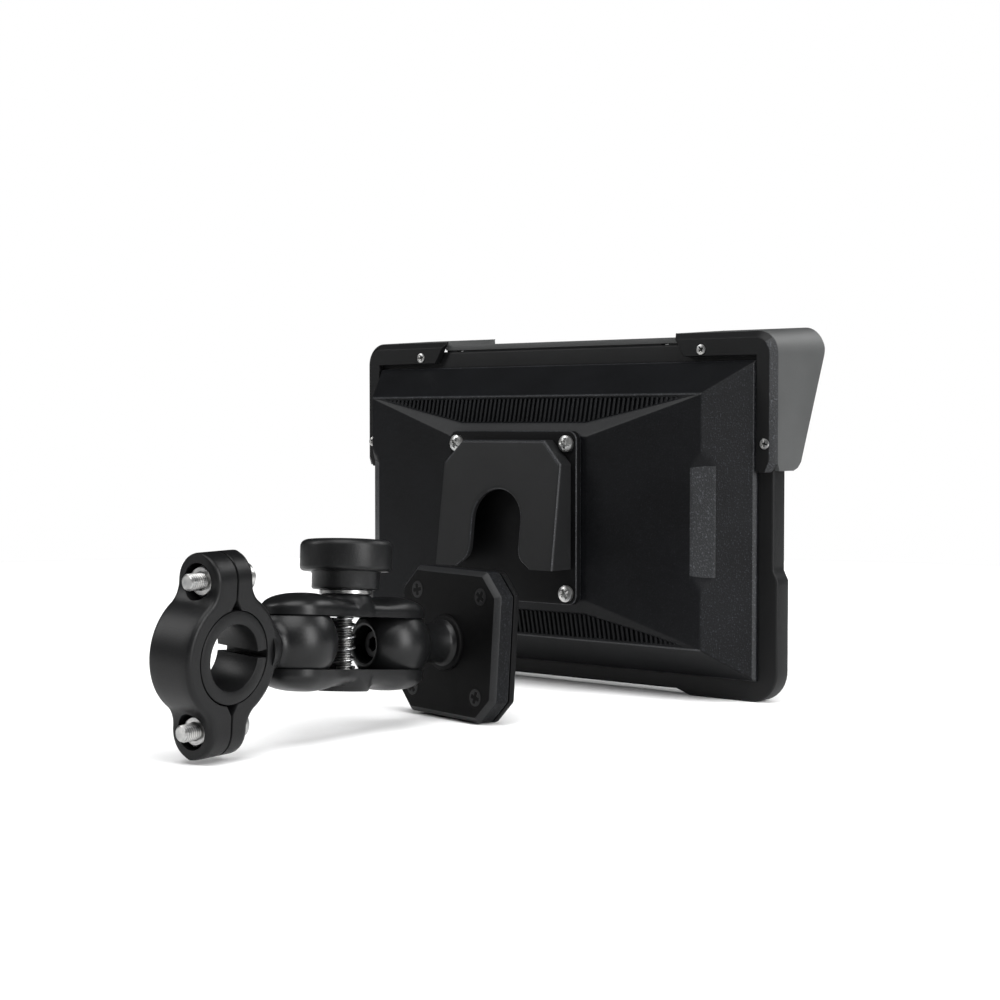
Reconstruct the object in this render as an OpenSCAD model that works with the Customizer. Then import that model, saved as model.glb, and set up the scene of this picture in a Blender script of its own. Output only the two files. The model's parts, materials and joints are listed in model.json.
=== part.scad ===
// Rear-view monitor with a sunshade and a docking bracket, and the double-ball
// mount that clamps it to a bar.
//
// Units are millimetres. X points right as seen from behind, Y points from the
// back of the monitor towards its screen, +Z is up. The origin is the middle of
// the footprint, on the surface that both items stand on.

/* [Monitor] */
// Width of the front frame
frame_w = 186; // [182:0.5:190]
// Height of the front frame, without its bumpers
frame_h = 121.5; // [120:0.5:124]
// Thickness of the front frame, front to back
frame_t = 8; // [7.5:0.1:9]
// Radius of the frame's corners
frame_r = 9; // [7:0.5:11]
// How far the lower corner bumpers stand out of the frame
bumper_t = 2; // [1.5:0.1:2.5]
// Depth of the rear shell, from the frame to its flat back
shell_d = 24; // [23:0.5:25]
// Wall of the rear shell
shell_wall = 2.4; // [2:0.1:2.8]
// Width of the visible screen area
window_w = 156; // [150:1:158]
// Height of the visible screen area
window_h = 88; // [84:1:89]

/* [Keys] */
// Number of keys under the screen
key_n = 6; // [4:1:6]
// Distance between two keys
key_pitch = 20; // [17:0.5:21]
// Width of a key
key_w = 12; // [9:0.5:13]
// Height of a key
key_h = 5.2; // [4.6:0.1:5.4]

/* [Sunshade] */
// How far the hood reaches in front of the frame's rear face
hood_d = 29; // [24:0.5:32]
// Wall of the hood
hood_wall = 2; // [1.6:0.1:2.2]
// Height of the hood's top above the frame's lower edge
hood_top = 125.2; // [125:0.1:126]
// How far each side of the hood widens towards its front
hood_flare = 1.4; // [0.5:0.1:2]
// How far the hood's top rises towards its front
hood_rise = 2.3; // [1:0.1:3]

/* [Dock bracket] */
// Width of the bracket's base plate
dock_w = 58.6; // [58:0.2:60]
// Height of the bracket's base plate
dock_h = 61.2; // [60:0.2:62]
// Width of the slot that the ball's neck slides through
slot_w = 22.2; // [20:0.2:24]
// Wall of the bracket's pocket
pocket_wall = 1.9; // [1.6:0.1:2.2]

/* [Ball mount] */
// Radius of both balls
ball_r = 12.7; // [12:0.1:13]
// Distance between the two balls
ball_gap = 46; // [46:0.5:49]
// Radius of the neck behind each ball
neck_r = 6.3; // [5.8:0.1:6.6]
// Half of the gap between the two arm halves
arm_gap = 8; // [7.6:0.1:8.2]
// Half of the arm's overall height
arm_h = 14.8; // [14.6:0.1:15.2]
// Radius of the arm's rounded ends
arm_r = 10.5; // [10.2:0.1:11]
// Radius of the knob's cap
knob_r = 14.1; // [13:0.1:15]
// Nominal radius of the mount's bolts
bolt_r = 2.5; // [2.4:0.05:2.6]

/* [Plate] */
// Width of the ball plate
plate_w = 49; // [48:0.2:50]
// Height of the ball plate
plate_h = 48; // [47:0.2:49]
// Corner cut of the ball plate
plate_cut = 7.3; // [6.5:0.1:8]

/* [Bar clamp] */
// Outer radius of the split sleeve
sleeve_r = 13.3; // [13:0.1:13.5]
// Radius of the bar that the sleeve takes
bar_r = 9.4; // [9:0.1:10]
// Width of the clamp along the bar
clamp_w = 16; // [15:0.5:18]
// Outer radius of the clamp's ring
ring_r = 18.2; // [17.8:0.1:18.8]
// Distance of each bolt from the bar's axis
lug_z = 21.2; // [21:0.1:22]

/* [Hidden] */
$fn = 64;
eps = 0.01;

// places of the two items on the surface
row_y = 94.2;                       // frame's rear face ahead of the origin
arm_at = [27.4, -141, 26.6];        // arm bolt's middle, from the frame's lower rear edge
arm_turn = [-6, -3, 5.3];
plate_turn = [-3.3, 0.7, -9.5];
clamp_turn = [0.6, 4.4, 4];
plate_reach = 22.5;                 // ball's centre to the ball plate's front face
clamp_reach = 34;                   // ball's centre to the bar's axis

// monitor, derived
mid_z = frame_h / 2;
front_t = 2;                        // front wall of the frame
inside_w = 168;                     // opening in the back of the frame
inside_lo = 8;
inside_hi = 112.6;
screen_z = 62.6;                    // middle of the screen
key_z = 11;
rim_w = 174.4;                      // rear shell where it meets the frame
rim_lo = 5.4;
rim_hi = 115.2;
ridge_w = 152;                      // rear shell's outer ridge
ridge_lo = 16.6;
ridge_hi = 103.5;
ridge_y = -19;
flat_w = 63.2;                      // rear shell's flat middle
flat_lo = 31.4;
flat_hi = 89.1;
grip_in = [71.3, 20];               // inner and outer edge of each side flat, and its size
grip_out = [79, 14.3];
grip_half = 19;
grip_depth = 6;
grip_ramp = 11.3;
board_w = 110;                      // main board and its four posts
board_h = 66;
board_y = -8.6;
post_x = 50;
post_z = 28;
socket_z = 30;
socket_y = -9;
dock_t = 3;
dock_screw_x = 25.3;
dock_screw_z = [33.9, 86.6];
pocket_top_y = -32;
pocket_low_y = -38;
pocket_hi = 87.9;
pocket_lo = 42.5;
flange_y = -2.7;
flange_w = 94.9;                    // half width over the sunshade's flanges
saddle_half = 53;                   // the hood's top is lower between these
saddle_y = 0.3;
saddle_z = frame_h + 0.3;
shade_screws = [[65.2, 119.3], [91, 86.7]];

// ball mount, derived
cup_r = ball_r + 0.3;
ball_cut = 10.4;                    // ball's centre to its flat with the screw bore
ball_bore_r = 5.8;
bolt_clear = 0.1;
washer_z = arm_h + 0.25;
washer_t = 1.1;
collar_r = 10.4;
collar_z = washer_z + washer_t + 0.05;
cap_z = 21.8;
knob_top = 31.4;
spring_r = 3.15;
wire_r = 0.38;
spring_turns = 5;
plate_t = 7;
back_t = 2.2;
plate_screw_d = 16;
lug_r = clamp_w / 2;
lug_out = 7.9;                      // lug faces either side of the split
lug_in = 6.6;
cap_gap = 0.4;                      // split between the clamp's halves
nut_y = -3.6;                       // outer face of each captive nut
nut_t = 4;
nut_r = 4.6;                        // across the corners
bolt_tip = -12;

// ---------- helpers ----------

// Everything is drawn from the frame's lower rear edge, then stood on its bumpers.
module stand() {
    translate([0, row_y, bumper_t]) children();
}

// Extrudes an X-Z outline from y0 to y1.
module slab(y0, y1) {
    translate([0, y1, 0]) rotate([90, 0, 0]) linear_extrude(y1 - y0) children();
}

// Extrudes a Y-Z outline from x0 to x1.
module across(x0, x1) {
    translate([x0, 0, 0]) rotate([90, 0, 90]) linear_extrude(x1 - x0) children();
}

// A cylinder along Y from y0 to y1 at x, z.
module rod(x, z, y0, y1, r) {
    translate([x, y1, z]) rotate([90, 0, 0]) cylinder(h = y1 - y0, r = r);
}

module rounded(w, h, r) {
    square([w - 2 * r, h], center = true);
    square([w, h - 2 * r], center = true);
    for (sx = [-1, 1], sz = [-1, 1])
        translate([sx * (w / 2 - r), sz * (h / 2 - r)]) circle(r);
}

module both_sides() {
    children();
    mirror([1, 0, 0]) children();
}

// Phillips screw along Y with its head's face at y = 0, pointing to +Y.
module pan_screw(head_r, head_t, shank_r, length) {
    difference() {
        union() {
            translate([0, head_t, 0]) rotate([90, 0, 0]) cylinder(h = head_t, r = head_r);
            translate([0, length, 0]) rotate([90, 0, 0])
                cylinder(h = length - head_t + eps, r = shank_r);
        }
        cross_slot(head_r, head_t * 0.6);
    }
}

module cross_slot(head_r, depth) {
    for (a = [0, 90]) rotate([0, a, 0])
        translate([-head_r * 0.62, -1, -head_r * 0.13])
            cube([head_r * 1.24, depth + 1, head_r * 0.26]);
}

// Places of the mount's pieces.
module at_arm() { stand() translate(arm_at) rotate(arm_turn) children(); }
module at_plate_ball() {
    at_arm() translate([0, ball_gap / 2, 0])
        unturn_arm() rotate(plate_turn) children();
}
module at_clamp_ball() {
    at_arm() translate([0, -ball_gap / 2, 0])
        unturn_arm() rotate(clamp_turn) children();
}
module unturn_arm() {
    rotate([-arm_turn[0], 0, 0]) rotate([0, -arm_turn[1], 0])
        rotate([0, 0, -arm_turn[2]]) children();
}
module at_plate() { at_plate_ball() translate([0, plate_reach, 0]) children(); }
module at_clamp() { at_clamp_ball() translate([0, -clamp_reach, 0]) children(); }

// ---------- monitor ----------

// Lower corner bumpers: the frame's outline pushed outwards, cut off at two chamfers.
module bumper_outline() {
    grow = bumper_t;
    intersection() {
        translate([0, mid_z]) rounded(frame_w + 2 * grow * 0.85, frame_h + 2 * grow, frame_r + grow);
        both_sides() polygon([
            [57.6, -grow], [54.6, 1], [54.6, 6], [frame_w / 2 - 6, 6],
            [frame_w / 2 - 6, 42.5], [frame_w / 2 - 0.5, 42.5], [frame_w / 2 + grow, 39],
            [frame_w / 2 + grow, -grow]
        ]);
    }
}

module key_holes() {
    for (i = [0 : key_n - 1])
        translate([(i - (key_n - 1) / 2) * key_pitch, key_z])
            square([key_w + 0.5, key_h + 0.5], center = true);
}

module front_bezel() {
    color("#2b2d30") stand() difference() {
        union() {
            slab(0, frame_t) translate([0, mid_z]) rounded(frame_w, frame_h, frame_r);
            slab(0, frame_t) bumper_outline();
        }
        slab(-1, frame_t - front_t)
            translate([-inside_w / 2, inside_lo]) square([inside_w, inside_hi - inside_lo]);
        slab(0, frame_t + 1)
            translate([0, screen_z]) square([window_w, window_h], center = true);
        slab(0, frame_t + 1) key_holes();
        both_sides() for (s = shade_screws) rod(s[0], s[1], -1, 5, 0.85);
    }
}

// Three flat outlines joined by straight facets.
module shell_form(inset) {
    hull() {
        slab(-1.5, inset > 0 ? 1 : 0) translate([0, (rim_lo + rim_hi) / 2])
            square([rim_w - 2 * inset, rim_hi - rim_lo - 2 * inset], center = true);
        slab(ridge_y + inset, ridge_y + inset + 0.5) translate([0, (ridge_lo + ridge_hi) / 2])
            square([ridge_w - 1.4 * inset, ridge_hi - ridge_lo - 1.6 * inset], center = true);
        slab(-shell_d + inset, -shell_d + inset + 0.5) translate([0, (flat_lo + flat_hi) / 2])
            square([flat_w - 0.8 * inset, flat_hi - flat_lo - 0.8 * inset], center = true);
    }
}

// Takes a flat off the ridge on either side, with a ramp at each end.
module side_flats() {
    lean = atan2(grip_in[1] - grip_out[1], grip_out[0] - grip_in[0]);
    both_sides() translate([grip_in[0], -grip_in[1], mid_z]) rotate([0, 0, lean])
        across(-1, 11) polygon([
            [0, -grip_half], [0, grip_half], [-grip_depth, grip_half + grip_ramp],
            [-grip_depth, -grip_half - grip_ramp]
        ]);
}

module rear_shell() {
    color("#37393c") stand() difference() {
        union() {
            difference() {
                shell_form(0);
                shell_form(shell_wall);
                side_flats();
            }
            for (sx = [-1, 1], z = dock_screw_z)
                rod(sx * dock_screw_x, z, -shell_d + 1, -16.6, 3.4);
        }
        for (sx = [-1, 1], z = dock_screw_z)
            rod(sx * dock_screw_x, z, -shell_d - 1, -18, 1.5);
        translate([-90, socket_y, socket_z]) rotate([0, 90, 0]) cylinder(h = 20, r = 5.6);
    }
}

module cover_glass() {
    color("#111417") stand() slab(3.9, frame_t - front_t)
        translate([0, screen_z]) square([window_w + 4, window_h + 2.5], center = true);
}

module panel_gasket() {
    color("#1c1c1c") stand() slab(2.9, 3.9) translate([0, screen_z]) difference() {
        square([window_w + 5, window_h + 3], center = true);
        square([window_w - 1, window_h - 1], center = true);
    }
}

module lcd_panel() {
    color("#15181c") stand() slab(-0.6, 2.9)
        translate([0, screen_z]) square([164.9, 99.6], center = true);
}

module lcd_frame() {
    color("#9a9da0") stand() difference() {
        union() {
            slab(-1.6, -0.6) translate([0, screen_z]) square([164, 99], center = true);
            for (sx = [-1, 1], sz = [-1, 1])
                rod(sx * post_x, mid_z + sz * post_z, board_y + 1.6, -1.6 + eps, 2.4);
        }
        for (sx = [-1, 1], sz = [-1, 1])
            rod(sx * post_x, mid_z + sz * post_z, board_y, -3, 1.25);
    }
}

module main_board() {
    color("#1f6b3a") stand() difference() {
        union() {
            slab(board_y, board_y + 1.6) translate([0, mid_z])
                square([board_w, board_h], center = true);
            for (c = [[-20, 8, 18, 18, 2], [14, -10, 14, 14, 1.6], [-38, -20, 10, 16, 5], [34, 16, 12, 20, 4]])
                slab(board_y - c[4], board_y + eps) translate([c[0], mid_z + c[1]])
                    square([c[2], c[3]], center = true);
        }
        for (sx = [-1, 1], sz = [-1, 1])
            rod(sx * post_x, mid_z + sz * post_z, board_y - 8, board_y + 3, 1.4);
    }
}

module board_screws() {
    color("silver") stand() for (sx = [-1, 1], sz = [-1, 1])
        translate([sx * post_x, board_y - 1.6, mid_z + sz * post_z]) pan_screw(2.4, 1.6, 1.2, 6);
}

module speaker() {
    color("#303030") stand() difference() {
        rod(67, 84, -10, -3, 11);
        rod(67, 84, -11, -7, 8);
    }
}

module cable_socket() {
    color("#202224") stand() translate([0, socket_y, socket_z]) rotate([0, -90, 0]) {
        difference() {
            union() {
                translate([0, 0, 74]) cylinder(h = 14, r = 5.5);
                translate([0, 0, 72.5]) cylinder(h = 1.6, r = 7);
            }
            translate([0, 0, 82.5]) cylinder(h = 6.5, r = 4);
            translate([0, 0, 79]) cylinder(h = 4, r = 3.2);
        }
        for (a = [45 : 90 : 315]) rotate([0, 0, a])
            translate([2, 0, 78.5]) cylinder(h = 3.6, r = 0.5, $fn = 24);
    }
}

module key_board() {
    color("#1f6b3a") stand() {
        slab(0.4, 1.6) translate([0, 10.4]) square([(key_n - 1) * key_pitch + 18, 4.2], center = true);
        for (i = [0 : key_n - 1])
            slab(1.6 - eps, 3.3) translate([(i - (key_n - 1) / 2) * key_pitch, 10.4])
                square([4.2, 3.4], center = true);
    }
}

// A key's cap passes through the frame, its wider foot stays behind it.
module key(i) {
    x = (i - 1 - (key_n - 1) / 2) * key_pitch;
    color("#3a3c3f") stand() {
        slab(5.2, frame_t + 1) translate([x, key_z]) square([key_w, key_h], center = true);
        slab(4, 5.2 + eps) translate([x, key_z]) square([key_w + 3, 5.4], center = true);
    }
}

// ---------- sunshade ----------

function corner_arc(cx, cz, r) = [for (a = [90 : -15 : 0]) [cx + r * cos(a), cz + r * sin(a)]];

// Angled flange behind the frame's upper corner.
module flange_outline() {
    polygon(concat(
        [[58, 117], [53, hood_top]],
        corner_arc(flange_w - 8, hood_top - 8, 8),
        [[flange_w, 80], [92.2, 77], [87.6, 77], [87.6, 117]]
    ));
}

// Hood's outline at one depth: square below, round at the two upper corners.
module hood_outline(half, top) {
    translate([-half, 60]) square([2 * half, top - 8 - 60]);
    translate([-half + 8, 60]) square([2 * half - 16, top - 60]);
    for (s = [-1, 1]) translate([s * (half - 8), top - 8]) circle(8, $fn = 32);
}

// The hood widens a little and rises towards its front.
module hood_form(inset) {
    hull() {
        slab(inset > 0 ? -0.15 : flange_y, 0) hood_outline(flange_w - inset, hood_top - inset);
        slab(hood_d - 0.1, hood_d + (inset > 0 ? 1 : 0))
            hood_outline(flange_w + hood_flare - inset, hood_top + hood_rise - inset);
    }
}

// What is cut away under the side wings, seen from the side.
module under_wings() {
    polygon([
        [-9, 50], [-9, 77.5], [9, 77.5], [11.5, 78.4], [13.6, 80.4], [hood_d + 2, 124],
        [hood_d + 2, 50]
    ]);
}

// The hood's top between the flanges lies close over the frame, with a step up at each end.
module saddle() {
    translate([-saddle_half - 1, saddle_y, saddle_z])
        cube([2 * saddle_half + 2, hood_d - saddle_y, 2.2]);
    both_sides() translate([saddle_half - 1, saddle_y, saddle_z]) cube([2, hood_d - saddle_y, 7]);
}

module sunshade() {
    color("#46494d") stand() difference() {
        union() {
            both_sides() slab(flange_y, -0.15) flange_outline();
            intersection() {
                hood_form(0);
                saddle();
            }
            difference() {
                hood_form(0);
                hood_form(hood_wall);
                across(-110, 110) under_wings();
                translate([-saddle_half, flange_y - 1, frame_h]) cube([2 * saddle_half, hood_d + 5, 10]);
                translate([-120, flange_y - 1, 50]) cube([240, -flange_y + 0.85, 90]);
            }
        }
        slab(-0.15, frame_t + 1) translate([0, mid_z])
            rounded(frame_w + 0.3, frame_h + 0.3, frame_r);
        both_sides() for (s = shade_screws) rod(s[0], s[1], flange_y - 1, 1, 0.95);
    }
}

module sunshade_screws() {
    color("silver") stand() both_sides() for (s = shade_screws)
        translate([s[0], flange_y - 1.4, s[1]]) pan_screw(1.8, 1.4, 0.8, 8);
}

// ---------- dock bracket ----------

module pocket_outline(inset) {
    w = 27 - inset;
    top = pocket_hi - inset;
    low = pocket_lo - (inset > 0 ? 5 : 0);
    polygon([
        [-w, low], [w, low], [w, 79.6 - inset * 0.4], [18.9 - inset * 0.4, top],
        [-18.9 + inset * 0.4, top], [-w, 79.6 - inset * 0.4]
    ]);
}

// The pocket's front wall leans: it stands further out at its open lower end.
module pocket_side(inset) {
    slope = (pocket_low_y - pocket_top_y) / (pocket_hi - pocket_lo);
    low = pocket_lo - (inset > 0 ? 5 : 0);
    base = -shell_d - dock_t + (inset > 0 ? 0 : eps);
    polygon([
        [base, low], [pocket_low_y + inset + slope * (pocket_lo - low), low],
        [pocket_top_y + inset, pocket_hi], [base, pocket_hi]
    ]);
}

module slot_outline() {
    arc_z = 70.4 - slot_w / 2;
    translate([0, arc_z]) circle(slot_w / 2);
    translate([-slot_w / 2, pocket_lo - 5]) square([slot_w, arc_z - pocket_lo + 5]);
    polygon([[-17, pocket_lo - 5], [17, pocket_lo - 5], [17, pocket_lo], [slot_w / 2, 49.5],
        [-slot_w / 2, 49.5], [-17, pocket_lo]]);
}

module dock_bracket() {
    color("#2a2c2f") stand() difference() {
        union() {
            slab(-shell_d - dock_t, -shell_d) translate([0, (29.9 + 91.1) / 2])
                rounded(dock_w, dock_h, 3);
            intersection() {
                slab(-40, -shell_d - 1) pocket_outline(0);
                across(-30, 30) pocket_side(0);
            }
        }
        intersection() {
            slab(-40, -shell_d - dock_t) pocket_outline(pocket_wall);
            across(-30, 30) pocket_side(pocket_wall);
        }
        slab(-42, -shell_d - dock_t) slot_outline();
        for (sx = [-1, 1], z = dock_screw_z)
            rod(sx * dock_screw_x, z, -shell_d - dock_t - 1, -shell_d + 1, 1.65);
    }
}

module bracket_screws() {
    color("silver") stand() for (sx = [-1, 1], z = dock_screw_z)
        translate([sx * dock_screw_x, -shell_d - dock_t - 2, z]) pan_screw(2.9, 2, 1.45, 10);
}

// ---------- arm ----------

// Column under the arm's outline from above: two round ends, a waist and a boss.
module arm_column(h) {
    for (s = [-1, 1]) translate([0, s * ball_gap / 2, 0]) cylinder(h = h, r = arm_r);
    cylinder(h = h, r = 8.6);
    linear_extrude(h) polygon([
        [-9.3, -ball_gap / 2 + 4], [-7.6, -8], [-7.6, 8], [-9.3, ball_gap / 2 - 4],
        [9.3, ball_gap / 2 - 4], [7.6, 8], [7.6, -8], [9.3, -ball_gap / 2 + 4]
    ]);
}

// Upper half seen from the side: low at the ends and at the waist, high over the balls.
module arm_side() {
    e = ball_gap / 2 + arm_r;
    polygon(concat(
        [[-e, arm_gap], [-e, arm_gap + 1.6]],
        [for (a = [170 : -20 : 50]) [-ball_gap / 2 + 3 + (arm_r + 2.5) * cos(a), arm_gap + 0.6 + (arm_h - arm_gap - 0.6) * sin(a)]],
        [[-9.5, arm_h - 2], [-9.5, arm_h], [9.5, arm_h], [9.5, arm_h - 2]],
        [for (a = [130 : -20 : 10]) [ball_gap / 2 - 3 + (arm_r + 2.5) * cos(a), arm_gap + 0.6 + (arm_h - arm_gap - 0.6) * sin(a)]],
        [[e, arm_gap + 1.6], [e, arm_gap]]
    ));
}

module arm_half() {
    difference() {
        intersection() {
            union() arm_column(arm_h + 1);
            across(-arm_r - 1, arm_r + 1) arm_side();
        }
        for (s = [-1, 1]) translate([0, s * ball_gap / 2, 0]) sphere(cup_r);
        cylinder(h = arm_h + 2, r = bolt_r + bolt_clear);
    }
}

module arm_upper() {
    color("#3b3f44") at_arm() arm_half();
}

module arm_lower() {
    color("#3b3f44") at_arm() {
        difference() {
            mirror([0, 0, 1]) arm_half();
            translate([0, 0, -arm_h - 1]) cylinder(h = 3.6 + 1, r = 4.75, $fn = 6);
        }
        // web that hides the spring from behind
        translate([-7, -7.5, -arm_gap - 0.5]) cube([2, 15, 2 * arm_gap + 0.1]);
    }
}

// Hexagon bolt, pushed up through the lower half.
module arm_bolt() {
    color("silver") at_arm() {
        translate([0, 0, -arm_h + 0.1]) cylinder(h = 3.4, r = 4.6, $fn = 6);
        translate([0, 0, -arm_h + 3.4]) cylinder(h = arm_h - 3.4 + 28, r = bolt_r);
    }
}

function coil_at(t) = [
    spring_r * cos(360 * spring_turns * t),
    spring_r * sin(360 * spring_turns * t),
    (arm_gap - wire_r - 0.1) * (2 * t - 1)
];

module arm_spring() {
    rings = 70;
    sides = 8;
    points = [for (i = [0 : rings]) let (t = i / rings, c = coil_at(t), a = 360 * spring_turns * t)
        for (k = [0 : sides - 1]) let (b = 360 * k / sides)
            c + wire_r * [cos(b) * cos(a), cos(b) * sin(a), sin(b)]];
    faces = concat(
        [for (i = [0 : rings - 1], k = [0 : sides - 1]) let (n = (k + 1) % sides)
            [i * sides + k, i * sides + n, (i + 1) * sides + n, (i + 1) * sides + k]],
        [[for (k = [sides - 1 : -1 : 0]) k], [for (k = [0 : sides - 1]) rings * sides + k]]
    );
    color("silver") at_arm() polyhedron(points, faces);
}

module arm_washer() {
    color("silver") at_arm() translate([0, 0, washer_z - 0.25]) difference() {
        cylinder(h = washer_t + 0.25, r = 8);
        translate([0, 0, -1]) cylinder(h = 4, r = bolt_r + 0.2);
    }
}

module knob() {
    color("#35383c") at_arm() difference() {
        rotate_extrude() polygon([
            [4, collar_z], [collar_r - 0.8, collar_z], [collar_r, collar_z + 0.8], [collar_r, cap_z],
            [knob_r - 1.6, cap_z], [knob_r, cap_z + 1.6], [knob_r, knob_top - 2.4],
            [knob_r - 0.7, knob_top - 0.7], [knob_r - 2.4, knob_top], [10.8, knob_top],
            [10.4, knob_top - 2.2], [4, knob_top - 2.2]
        ]);
        for (a = [0 : 72 : 288]) rotate([0, 0, a])
            translate([8, 0, knob_top - 5]) cylinder(h = 6, r = 1.7, $fn = 24);
    }
}

module knob_insert() {
    color("#b08d4a") at_arm() difference() {
        translate([0, 0, collar_z]) cylinder(h = 14.5, r = 4);
        translate([0, 0, collar_z - 1]) cylinder(h = 18, r = bolt_r + 0.05);
    }
}

// ---------- balls ----------

// Ball with a flat and a screw bore on its free side; its neck runs along +Y for reach.
module ball(reach) {
    difference() {
        union() {
            rotate([-90, 0, 0]) rotate_extrude() intersection() {
                circle(ball_r);
                translate([0, -ball_cut]) square([ball_r + 1, ball_cut + ball_r + 1]);
            }
            rod(0, 0, 0, reach, neck_r);
        }
        rod(0, 0, -ball_cut - 1, -2, ball_bore_r);
        rod(0, 0, -3, reach + 1, bolt_r + 0.05);
    }
}

// Socket screw with its head in the ball's bore; length is measured under the head.
module ball_bolt(length) {
    difference() {
        union() {
            rod(0, 0, -7, -2, 4.25);
            rod(0, 0, -2 - eps, length - 2, bolt_r);
        }
        translate([0, -4.5, 0]) rotate([90, 0, 0]) cylinder(h = 3, r = 2.3, $fn = 6);
    }
}

// ---------- plate ----------

module cut_outline(w, h, c) {
    polygon([
        [-w / 2 + c, -h / 2], [w / 2 - c, -h / 2], [w / 2, -h / 2 + c], [w / 2, h / 2 - c],
        [w / 2 - c, h / 2], [-w / 2 + c, h / 2], [-w / 2, h / 2 - c], [-w / 2, -h / 2 + c]
    ]);
}

module plate_screw_places() {
    for (sx = [-1, 1], sz = [-1, 1]) translate([sx * plate_screw_d, 0, sz * plate_screw_d]) children();
}

module ball_plate() {
    color("#303236") at_plate() difference() {
        union() {
            hull() {
                slab(0, 0.1) cut_outline(plate_w - 3, plate_h - 3, plate_cut - 0.6);
                slab(1.5, 1.6) cut_outline(plate_w, plate_h, plate_cut);
            }
            slab(1.5, plate_t - 0.4) cut_outline(plate_w, plate_h, plate_cut);
            slab(plate_t - 0.5, plate_t) cut_outline(plate_w - 1, plate_h - 1, plate_cut - 0.2);
            rod(0, 0, -1.5, 1, 9);
        }
        rod(0, 0, -3, 5.5, bolt_r + 0.05);
        plate_screw_places() {
            rod(0, 0, -1, plate_t + 1, 1.65);
            rod(0, 0, -1, 1.7, 3.1);
        }
    }
}

module plate_ball() {
    color("#3b3f44") at_plate_ball() ball(plate_reach - 1.5);
}

module plate_ball_screw() {
    color("silver") at_plate_ball() ball_bolt(plate_reach + 6);
}

module backing_plate() {
    color("#2c2e31") at_plate() difference() {
        slab(plate_t, plate_t + back_t) cut_outline(plate_w, plate_h, plate_cut);
        plate_screw_places() rod(0, 0, plate_t - 1, plate_t + back_t + 1, 1.5);
    }
}

module plate_screws() {
    color("#1d1e20") at_plate() plate_screw_places()
        translate([0, 0.3, 0]) pan_screw(2.95, 1.3, 1.45, 8.6);
}

// ---------- bar clamp ----------

// Clamp seen along the bar: the ring, and the lugs that flare out of it.
module clamp_side() {
    circle(ring_r);
    polygon(concat(
        [[-lug_out, lug_z + lug_r], [-lug_out, 19.5], [-12.5, 14], [-12.5, -14], [-lug_out, -19.5],
         [-lug_out, -lug_z - lug_r], [lug_in, -lug_z - lug_r], [lug_in, -20.5], [11.5, -14.5],
         [11.5, 14.5], [lug_in, 20.5], [lug_in, lug_z + lug_r]]
    ));
}

// Clamp seen from its end: straight sides with round ends about the bolts.
module clamp_end() {
    square([clamp_w, 2 * lug_z], center = true);
    for (s = [-1, 1]) translate([0, s * lug_z]) circle(lug_r);
}

module clamp_blank() {
    intersection() {
        across(-clamp_w / 2, clamp_w / 2) clamp_side();
        slab(-25, 25) clamp_end();
    }
}

module bolt_places() {
    for (s = [-1, 1]) translate([0, 0, s * lug_z]) children();
}

module clamp_body() {
    color("#26282a") at_clamp() difference() {
        union() {
            intersection() {
                clamp_blank();
                translate([-20, cap_gap / 2, -40]) cube([40, 40, 80]);
            }
            rod(0, 0, 15, 20, 8);
        }
        translate([-20, 0, 0]) rotate([0, 90, 0]) cylinder(h = 40, r = sleeve_r + 0.05);
        bolt_places() {
            rod(0, 0, -1, 20, bolt_r + 0.1);
            rod(0, 0, lug_in, 20, 4.6);
        }
        rod(0, 0, 10, 26, bolt_r + 0.05);
    }
}

module clamp_cap() {
    color("#26282a") at_clamp() difference() {
        intersection() {
            clamp_blank();
            translate([-20, -40 - cap_gap / 2, -40]) cube([40, 40, 80]);
        }
        translate([-20, 0, 0]) rotate([0, 90, 0]) cylinder(h = 40, r = sleeve_r + 0.3);
        bolt_places() {
            rod(0, 0, -30, 1, bolt_r + 0.1);
            translate([0, nut_y + nut_t * 0.65, 0]) rotate([90, 0, 0])
                cylinder(h = 30, r = nut_r + 0.6);
        }
    }
}

module clamp_sleeve() {
    color("#1f2022") at_clamp() difference() {
        translate([-clamp_w / 2, 0, 0]) rotate([0, 90, 0]) cylinder(h = clamp_w, r = sleeve_r);
        translate([-20, 0, 0]) rotate([0, 90, 0]) cylinder(h = 40, r = bar_r);
        translate([-20, 5, -0.9]) cube([40, 20, 1.8]);
    }
}

module clamp_ball() {
    color("#3b3f44") at_clamp_ball() mirror([0, 1, 0]) ball(clamp_reach - 20);
}

module clamp_ball_screw() {
    color("silver") at_clamp_ball() mirror([0, 1, 0]) ball_bolt(clamp_reach - 15.2);
}

module clamp_nut(s) {
    color("silver") at_clamp() translate([0, nut_y + nut_t * 0.6, s * lug_z]) rotate([90, 0, 0])
        difference() {
            cylinder(h = nut_t, r = nut_r, $fn = 6);
            translate([0, 0, -1]) cylinder(h = nut_t + 2, r = bolt_r + 0.05);
        }
}

module clamp_bolt(s) {
    color("silver") at_clamp() translate([0, 0, s * lug_z]) {
        rod(0, 0, bolt_tip, lug_in + 2, bolt_r);
        rod(0, 0, lug_in + 0.02, lug_in + 5, 4.2);
    }
}

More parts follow.
